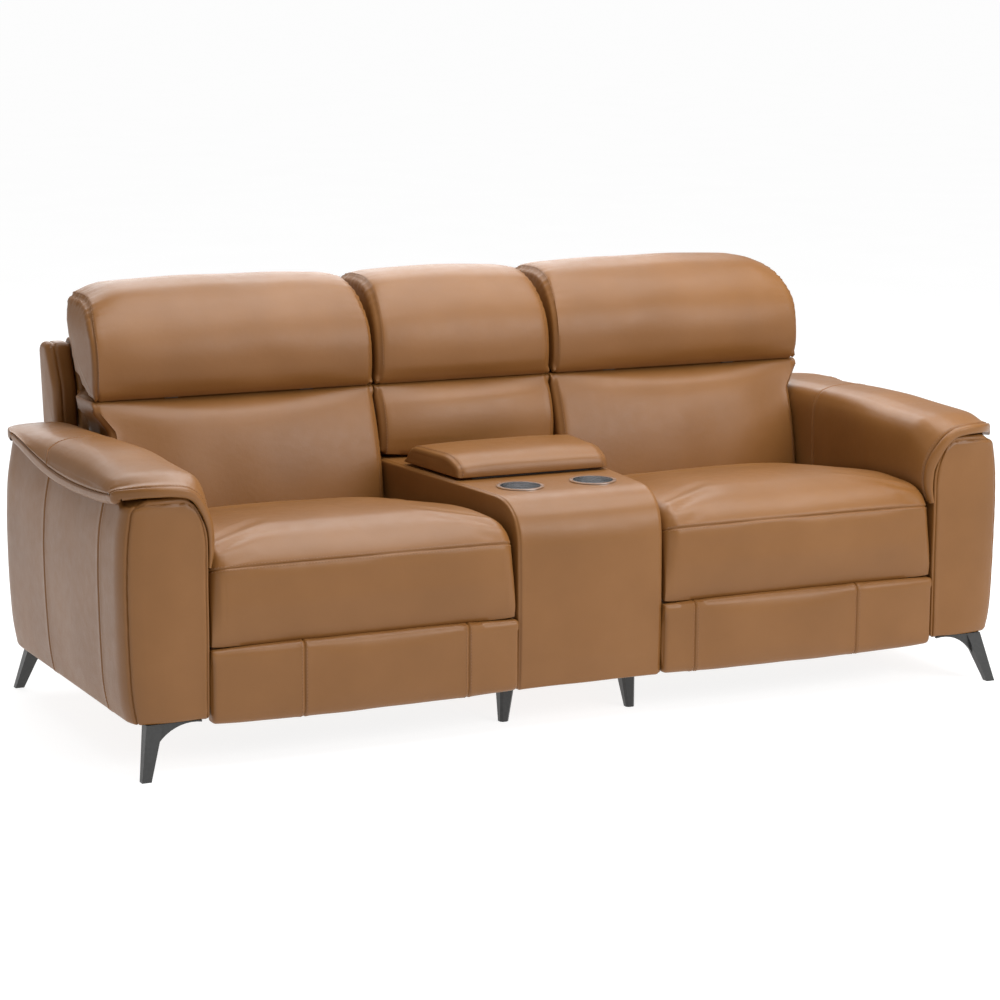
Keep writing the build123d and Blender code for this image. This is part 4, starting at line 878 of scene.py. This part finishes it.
rest = head(head_side, lambda d, z: -HEAD_IN - head_draw(z) * 0.5, 4, 16, 47)
gusset_rows(rest, twins("headrest"), on_head)
add_pair("headrest_cover", rest, "headrest", ("headrest_cushion",))

mid_back = lumbar(616, MID_BASE, flat(-MID_HALF), flat(MID_HALF), 18, 61)
gusset_rows(mid_back, (("frame", 1),), on_lumbar)
add("console_lumbar_cover", mid_back, "frame", ("console_lumbar_cushion",))
mid_head = head(mid_side(-1), mid_side(1), 1.0, 18, 71)
gusset_rows(mid_head, (("frame", 1),), on_head)
add("console_head_cover", mid_head, "frame", ("console_head_cushion",))

# Back shells: the seats' with an ear behind each arm, and the console's between them

SHELL_CROWN = ((913, SHELL_TOP, 10, 0), (SHELL_REAR, SHELL_TOP, 34, 0), (SHELL_REAR, SHELL_WAIST, 60, 2))
LEVEL_SEAM = (SHELL_REAR, 540)
UPRIGHT_SEAMS = (60, 559)
SHELL_GROOVE = dict(depth=2.4, wide=3.0, puff=0.6)
EAR_OUT, EAR_IN, EAR_TOP, EAR_SEAM = 913, 853, 765, 20

shell_line = outline((708, 342, 6, 0), *SHELL_CROWN, (SHELL_TAIL, SHELL_FOOT, 8, 0), (868, SHELL_FOOT, 8, 0),
                     (868, 298, 4, 0))
shell_pts, shell_s, (shell_mark,) = resample(shell_line, 14.0, [LEVEL_SEAM])
shell = sweep(shell_pts, flat(-SHELL_OUT), flat(-SHELL_IN), 10, 22.0, marks=UPRIGHT_SEAMS, dome=0)
shell_back = shell.v[:, 1] > 915
level_gap = np.where((shell.across > END) & shell_back, around(shell, shell_s) - shell_mark, FAR)
groove(shell, level_gap, **SHELL_GROOVE)
for x in UPRIGHT_SEAMS:
    groove(shell, np.where(shell_back, shell.across - x, FAR), **SHELL_GROOVE)
ear_line = outline((866, SHELL_WAIST, 8, 0), (866, 640, 20, 0), (868, 672, 20, 0), (910, EAR_TOP, 12, 0),
                   (SHELL_REAR, EAR_TOP, 34, 0), (SHELL_REAR, SHELL_WAIST, 10, 0))
ear_pts, _, _ = resample(ear_line, 8.0)
ear = sweep(ear_pts, lambda d, z: -EAR_OUT + (EAR_TOP - z) / 25, flat(-EAR_IN), 14, 9.0, marks=(EAR_SEAM,),
            dome=2)
groove(ear, np.where(ear.across > END, ear.across - EAR_SEAM, FAR), 2.0, 2.4, 0.4)
add_pair("shell_cover", join(shell, ear), "back", ("back_shell",))

mid_line = outline((783, 503, 5, 0), *SHELL_CROWN, (SHELL_TAIL, SHELL_FOOT, 10, 0),
                   (SHELL_TAIL, CONSOLE_BASE, 8, 0), (643, CONSOLE_BASE, 6, 0), (643, CONSOLE_TOP, 4, 0))
mid_pts, mid_s, (mid_mark,) = resample(mid_line, 14.0, [LEVEL_SEAM])
mid_shell = sweep(mid_pts, flat(-MID_HALF), flat(MID_HALF), 10, 20.0, dome=0)
mid_rear = (mid_shell.across > END) & (mid_shell.v[:, 1] > 915)
groove(mid_shell, np.where(mid_rear, around(mid_shell, mid_s) - mid_mark, FAR), **SHELL_GROOVE)
add("console_shell_cover", mid_shell, "frame", ("console_back_shell",))

# Console: the box with its waterfall front, and the padded lid

BOX_FRONT, BOX_REAR = 12, 638
box_line = outline((BOX_FRONT, CONSOLE_BASE, 8, 2.5), (BOX_FRONT, CONSOLE_TOP, 108, 0),
                   (BOX_REAR, CONSOLE_TOP, 4, 0), (BOX_REAR, CONSOLE_BASE, 4, 0))
box_pts, _, _ = resample(box_line, 8.0)
bd, bz = box_pts.T
box_weight = (bd < 40) * np.clip((bz - CONSOLE_BASE) / 60, 0, 1) * np.clip((CONSOLE_TOP - bz) / 90, 0, 1)
box = sweep(box_pts, console_side(-1, 0.5), console_side(1, 0.5), 7, 12.0, marks=(8, 393), swell=5,
            weight=box_weight, dome=0)
for x in (4, box.width - 4):
    sewn = (box.v[:, 1] < 60) | (box.v[:, 2] > 480)
    groove(box, np.where(sewn, box.across - x, FAR), 2.3, 1.6, 0.4)
uneven(box, 0.5, 160, 83, (box.v[:, 2] < 440) * 1.0)
box_obj = add("console_cover", box, "frame", ("console_body",))
bin_space = ((0, 420.5, 420), (269.6, 220.6, 280.4))
cup_spaces = [((x, 177, 464), 45.7, 76.2) for x in (-88, 88)]
bore(box_obj, [bin_space], cup_spaces)

lid_line = outline((287, LID_BASE, 8, 1), (290, 529, 24, 0), (340, 549, 60, 0), (512, 546, 26, 0),
                   (538, LID_BASE, 6, 0))
lid_pts, _, _ = resample(lid_line, 7.0)
lid_weight = np.clip((lid_pts[:, 1] - 520) / 20, 0, 1)
lid_trim = np.where(lid_pts[:, 1] < 512, 0.3, 1.0)
lid = sweep(lid_pts, console_side(-1, 11), console_side(1, 11), 12, 10.0, swell=5, weight=lid_weight, dome=1,
            trim=lid_trim)
inflate(lid, np.where((lid.v[:, 2] > 535) & within(lid, 12), 0.0, 1.0), 3.0, 3.0)
for x in (9, lid.width - 9):
    groove(lid, np.where(lid.v[:, 2] > 510, lid.across - x, FAR), 2.2, 2.0, 0.4)
uneven(lid, 0.6, 130, 91, (lid.v[:, 2] > 530) * 1.0)
lid_n = lid.normals()
for x in (13, lid.width - 13):
    index = ring_at(lid, x)
    index = index[(lid.v[index, 2] > 530) | (lid.v[index, 1] < 300)]
    index = index[np.argsort(lid.v[index, 1] + (lid.v[index, 2] - 505) * 0.2)]
    stitch("lid", *row(lid, index, lid_n))
add("lid_cover", lid, "lid", ("console_lid",))

# Arm caps: heights of the lip and crest along the arm, depths of its ends across it, and its thickness

lip_low = smooth((40, 557), (130, 546), (220, 540), (330, 536), (449, 538), (560, 549), (640, 563),
                 (701, 574), (746, 580), (830, 584))
lip_seam = smooth((40, 575), (130, 566), (220, 560), (330, 557), (465, 562), (560, 573), (640, 585),
                  (714, 595), (746, 597), (830, 597))
crest = smooth((-13, 592), (8, 603), (40, 609), (134, 614), (240, 619), (351, 621), (460, 618), (567, 613),
               (680, 609), (742, 606.5), (800, 603.5), (ARM_REAR, 599))
cap_front = smooth((840, 22), (850, 14), (862, 6), (880, -3), (905, -9), (940, -12), (975, -6), (1005, 12),
                   (1030, 38), (1048, 62))
cap_rear = smooth((840, ARM_REAR), (950, ARM_REAR), (990, 842), (1020, 826), (1038, 796), (1048, 746))
cap_thick = smooth((0, 14), (1, 15), (2, 18), (3, 20), (5, 20), (7, 20), (8, 19), (9, 18), (10, 18), (11, 18),
                   (12, 17), (13, 15), (14, 8))
OUTER_FRONT, OUTER_LONG = 62, 684
CREST_FRONT, CREST_LONG = -13, 859
STATION_LONG, SEAM_LONG = 850, 857
# The lip's seam across the section, the front seam's distance behind the edge, and the cross seam's share
LIP_SEAM, FRONT_SEAM, CROSS_SEAM = 2.0, 13.4, 0.612


def cap_section(t, behind):
    """Points of the cap's outer surface across one station, from the lip's underside to the seat.

    Behind its front seam the cap swells from the lip's line to a full pillow."""
    outer_d, crest_d = OUTER_FRONT + t * OUTER_LONG, CREST_FRONT + t * CREST_LONG
    lean = 16 * np.clip((500 - crest_d) / 250, 0, 1)
    drop = 34 * np.clip((crest_d - 250) / 250, 0, 1)
    low, seam, top = lip_low(outer_d), lip_seam(outer_d), crest(crest_d)
    rise = top - seam
    full = np.array([(1043, low), (1048, low + 7), (1047, seam), (1043, seam + 0.32 * rise),
                     (1028, seam + 0.66 * rise), (996, top - 0.08 * rise), (950, top), (915, top - 2),
                     (895 - 0.2 * lean, top - 7), (880 - 0.5 * lean, top - 14), (869 - 0.8 * lean, top - 29),
                     (862.5 - lean, top - 57), (861.5 - lean, 500), (862 - 0.9 * lean, 462 - drop),
                     (863.2 - 0.4 * lean, 434 - drop)])
    lip = np.array([(1043, low), (1048, low + 7), (1047, seam), (1040, seam + 8), (1023, seam + 13),
                    (993, 590.5), (950, 592), (918, 588), (901, 581), (885, 569), (870, 549), (857, 524),
                    (848.5, 495), (848, 455), (857.5, 418)])
    share = 1 - (1 - np.clip((behind - 12) / 75, 0, 1))**2
    return lip + share * (full - lip)


q = np.concatenate([np.arange(0, 1.6, 0.2), [1.6, 1.72, 1.82, 1.91, 2.0, 2.09, 2.18, 2.28, 2.42],
                    np.arange(2.55, 14.01, 0.14)])
q[-1] = 14.0
knots = np.arange(15)
q_mid, arm_core = 40, np.array([960, 400])
thick = cap_thick(q)
offsets = [0, 0.4, 1.2, 2.6, 4.5, 7, 9.2, 10.8, 12.2, FRONT_SEAM, 14.6, 16, 18, 21, 26, 33]
cross_steps = [CROSS_SEAM + o for o in (-0.008, -0.0055, -0.0035, -0.0017, 0, 0.0017, 0.0035, 0.0055, 0.008)]
steps = sorted(set([0.045 + 0.013 * i for i in range(70)] + cross_steps))
steps = [s for s in steps if abs(s - CROSS_SEAM) < 0.009 or abs(s - CROSS_SEAM) > 0.013]
stations = [("front", o) for o in offsets] + [("middle", s) for s in steps]
stations += [("rear", o) for o in reversed(offsets)]
outer_v, inner_v, shares, front_o = [], [], [], []
for kind, place in stations:
    t = {"front": place / STATION_LONG, "middle": place, "rear": 1 - place / STATION_LONG}[kind]
    sec = cap_section(t, place if kind == "front" else CREST_LONG * t)
    a = smooth(*zip(knots, sec[:, 0]))(q)
    z = smooth(*zip(knots, sec[:, 1]))(q)
    tang = unit(np.column_stack([np.gradient(a, q), np.gradient(z, q)]))
    inn = np.column_stack([-tang[:, 1], tang[:, 0]])
    inn *= np.sign(np.sum(inn[q_mid] * (arm_core - np.array([a[q_mid], z[q_mid]]))))
    rolled = 1.0 if kind == "middle" else np.clip(place / 8.0, 0, 1)
    inset = np.minimum(7.0, thick / 2 - 0.4) * (1 - np.sqrt(1 - (1 - rolled)**2))
    for store, shift in ((outer_v, inset), (inner_v, thick - inset)):
        own = a + inn[:, 0] * shift
        first, last = cap_front(own), cap_rear(own)
        d = {"front": first + place, "middle": first + t * (last - first), "rear": last - place}[kind]
        store.append(np.column_stack([-own, d, z + inn[:, 1] * shift]))
    front_o.append(np.full(len(q), place if kind == "front" else FAR))
    shares.append(np.full(len(q), t))
per = 2 * len(q)
verts = np.vstack([np.vstack([o, i[::-1]]) for o, i in zip(outer_v, inner_v)])
faces = grid_faces(len(stations), per)
last = (len(stations) - 1) * per
for k in range(len(q) - 1):
    faces.append((k, per - 1 - k, per - 2 - k, k + 1)[::-1])
    faces.append((last + k, last + per - 1 - k, last + per - 2 - k, last + k + 1))
cap = Piece(verts, faces).orient()
cap_q = np.tile(np.concatenate([q, np.full(len(q), -9.0)]), len(stations))
cap_o = np.concatenate([np.concatenate([o, np.full(len(q), FAR)]) for o in front_o])
cap_t = np.concatenate([np.concatenate([s, s]) for s in shares])
uneven(cap, 1.0, 170, 101, ((cap_q > 2.6) & (cap_o > 30)) * 1.0)
side_gap = np.where((cap_q > -1) & (cap_o > 10), (cap_q - LIP_SEAM) * 20, FAR)
groove(cap, side_gap, 3.0, 1.8, 0.9)
groove(cap, np.where(cap_q > 1.9, cap_o - FRONT_SEAM, FAR), 3.0, 1.5, 0.9)
groove(cap, np.where(cap_q > 2.05, (cap_t - CROSS_SEAM) * SEAM_LONG, FAR), 2.6, 1.9, 0.8)
pucker(cap, side_gap, cap.v[:, 1], 0.6, 7, reach=20, pitch=21)
cap_n = cap.normals()
side_rows = [i for i, (kind, place) in enumerate(stations) if kind == "middle" or place >= 14]
side_k = int(np.argmin(np.abs(q - 2.42)))
top_k = [k for k, v in enumerate(q) if v >= 2.2]
front_row = offsets.index(18)
cross_rows = [stations.index(("middle", s)) for s in steps if abs(s - CROSS_SEAM - 0.0055) < 1e-6]
seams = [[i * per + side_k for i in side_rows]]
seams += [[i * per + k for k in top_k] for i in [front_row] + cross_rows]
for index in seams:
    sew(FRAME_SIDES, *row(cap, np.array(index), cap_n))
add_pair("arm_cap_cover", cap, "frame", ("arm_cap",))

# Arm bodies: an upholstered box with a recessed front panel, over a plan of distance from the seat and depth

ARM_WIDE, ARM_TOP, PANEL_TOP, PANEL_ROUND = 177, 562, 556.0, 20.0
LOW_ROUND, HIGH_ROUND = 9, 12
arm_out = smooth((ARM_BASE, 1030), (160, 1039), (240, 1045), (330, 1048), (420, 1048), (500, 1042),
                 (545, 1033), (600, 1020))
arm_in = smooth((ARM_BASE, ARM_IN), (380, ARM_IN), (415, 867.5), (440, 870), (480, 876), (520, 887),
                (545, 898), (565, 914), (600, 930))
plan = outline((0, ARM_REAR, 8, 0), (0, 6, 7, 0), (92, -2, 60, 0), (ARM_WIDE, 12, 48, 0),
               (ARM_WIDE, ARM_REAR, 98, 0))
upright_spots, panel_spots = [(176, 148), (176, 510)], [(166, 14), (4, 5.5)]
plan_pts, plan_s, plan_marks = resample(plan, 11.0, upright_spots + panel_spots)
upright_marks, panel_marks = plan_marks[:2], sorted(plan_marks[2:])
plan_n = outward(plan_pts)
plan_a, plan_d = plan_pts.T
levels = np.concatenate([[0, 0.004, 0.010, 0.018], np.arange(0.035, 0.955, 0.027),
                         [0.958, 0.967, 0.975, 0.983, 0.99, 0.996, 1.0]])
fine_z = PANEL_TOP + np.concatenate([-NEAR[:5][::-1], [0], NEAR[:4]])
fine_levels = (fine_z - ARM_BASE) / (ARM_TOP - ARM_BASE)
levels = np.array(sorted(set(levels) | set(fine_levels.tolist())))
front_top = 566 + 6 * np.clip(1 - plan_a / 150, 0, 1) - 14 * np.clip((plan_a - 120) / 45, 0, 1)
top = np.where(plan_d < 60, front_top, np.clip(lip_low(plan_d) + 9, 546, 592))
top = np.where((plan_a < 120) & (plan_d > 60), np.minimum(top, 566), top)
near_seat = np.clip(1.2 - plan_d / 150, 0, 1) * (1 - plan_a / ARM_WIDE)


def rounded(gap, radius):
    """How far a rounded edge lies inside its corner, at a gap from the end."""
    return radius * (1 - np.sqrt(1 - (1 - np.clip(gap / radius, 0, 1))**2))


body_v = []
for w in levels:
    z = ARM_BASE + w * (top - ARM_BASE)
    inset = rounded(z - ARM_BASE, LOW_ROUND) + rounded(top - z, HIGH_ROUND)
    width = (arm_out(z) - arm_in(z)) / (ARM_WIDE - 1)
    a = arm_in(z) + (plan_a - plan_n[:, 0] * inset) * width
    a = a - 11 * near_seat * np.exp(-((z - 505) / 70)**2)
    body_v.append(np.column_stack([-a, plan_d - plan_n[:, 1] * inset, z]))
count = len(plan_pts)
faces = grid_faces(len(levels), count)
faces += [tuple(range(count))[::-1], tuple((len(levels) - 1) * count + k for k in range(count))]
arm = Piece(np.vstack(body_v), faces).orient()
arm_s = np.tile(plan_s, len(levels))
uneven(arm, 1.2, 200, 113, ((arm.v[:, 2] > 130) & (arm.v[:, 0] < -880)) * 1.0)
arm_n = arm.normals()
for mark in upright_marks:
    groove(arm, arm_s - mark, 3.0, 1.9, 0.9, arm_n)
s_low, s_high = panel_marks
half, mid = (s_high - s_low) / 2, (s_high + s_low) / 2
off = np.column_stack([np.abs(arm_s - mid) - half + PANEL_ROUND, arm.v[:, 2] - PANEL_TOP + PANEL_ROUND])
panel = np.linalg.norm(np.maximum(off, 0), axis=1) + np.minimum(np.max(off, axis=1), 0) - PANEL_ROUND
groove(arm, panel, 3.2, 1.9, 0.9, arm_n)
pucker(arm, panel, arm.v[:, 2] + arm_s, 0.45, 9, reach=14)
arm_n = arm.normals()
for mark in upright_marks:
    k = int(np.argmin(np.abs(plan_s - mark - 5.5)))
    sew(FRAME_SIDES, *row(arm, np.arange(4, len(levels) - 3) * count + k, arm_n))
switch_hole = (np.array([-868.0, 120, 388]), (20.2, 50, 22))
add_pair("arm_cover", arm, "frame", ("arm_body",), cut=[switch_hole])

# Stitches, one piece for each body

for body, rows in thread.items():
    obj = mesh_object(f"stitching_{body}", join(*rows), thread_mat)
    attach(obj, body)
    if body in ("left_back", "right_back"):
        press_in(obj)

# Finishes of the metal, timber and plastic pieces

slots = {s["node"]: s["material_slot"] for s in frame["record"]["subparts"]}
for name, node in frame["nodes"].items():
    if node.hide_render:
        continue
    node.data.materials.clear()
    node.data.materials.append(finishes[slots[name]])
    if slots[name] in ("black_metal", "polished_steel", "black_plastic"):
        soft = node.modifiers.new("edges", "BEVEL")
        soft.width = 0.0012
        soft.segments = 2
        soft.limit_method = "ANGLE"
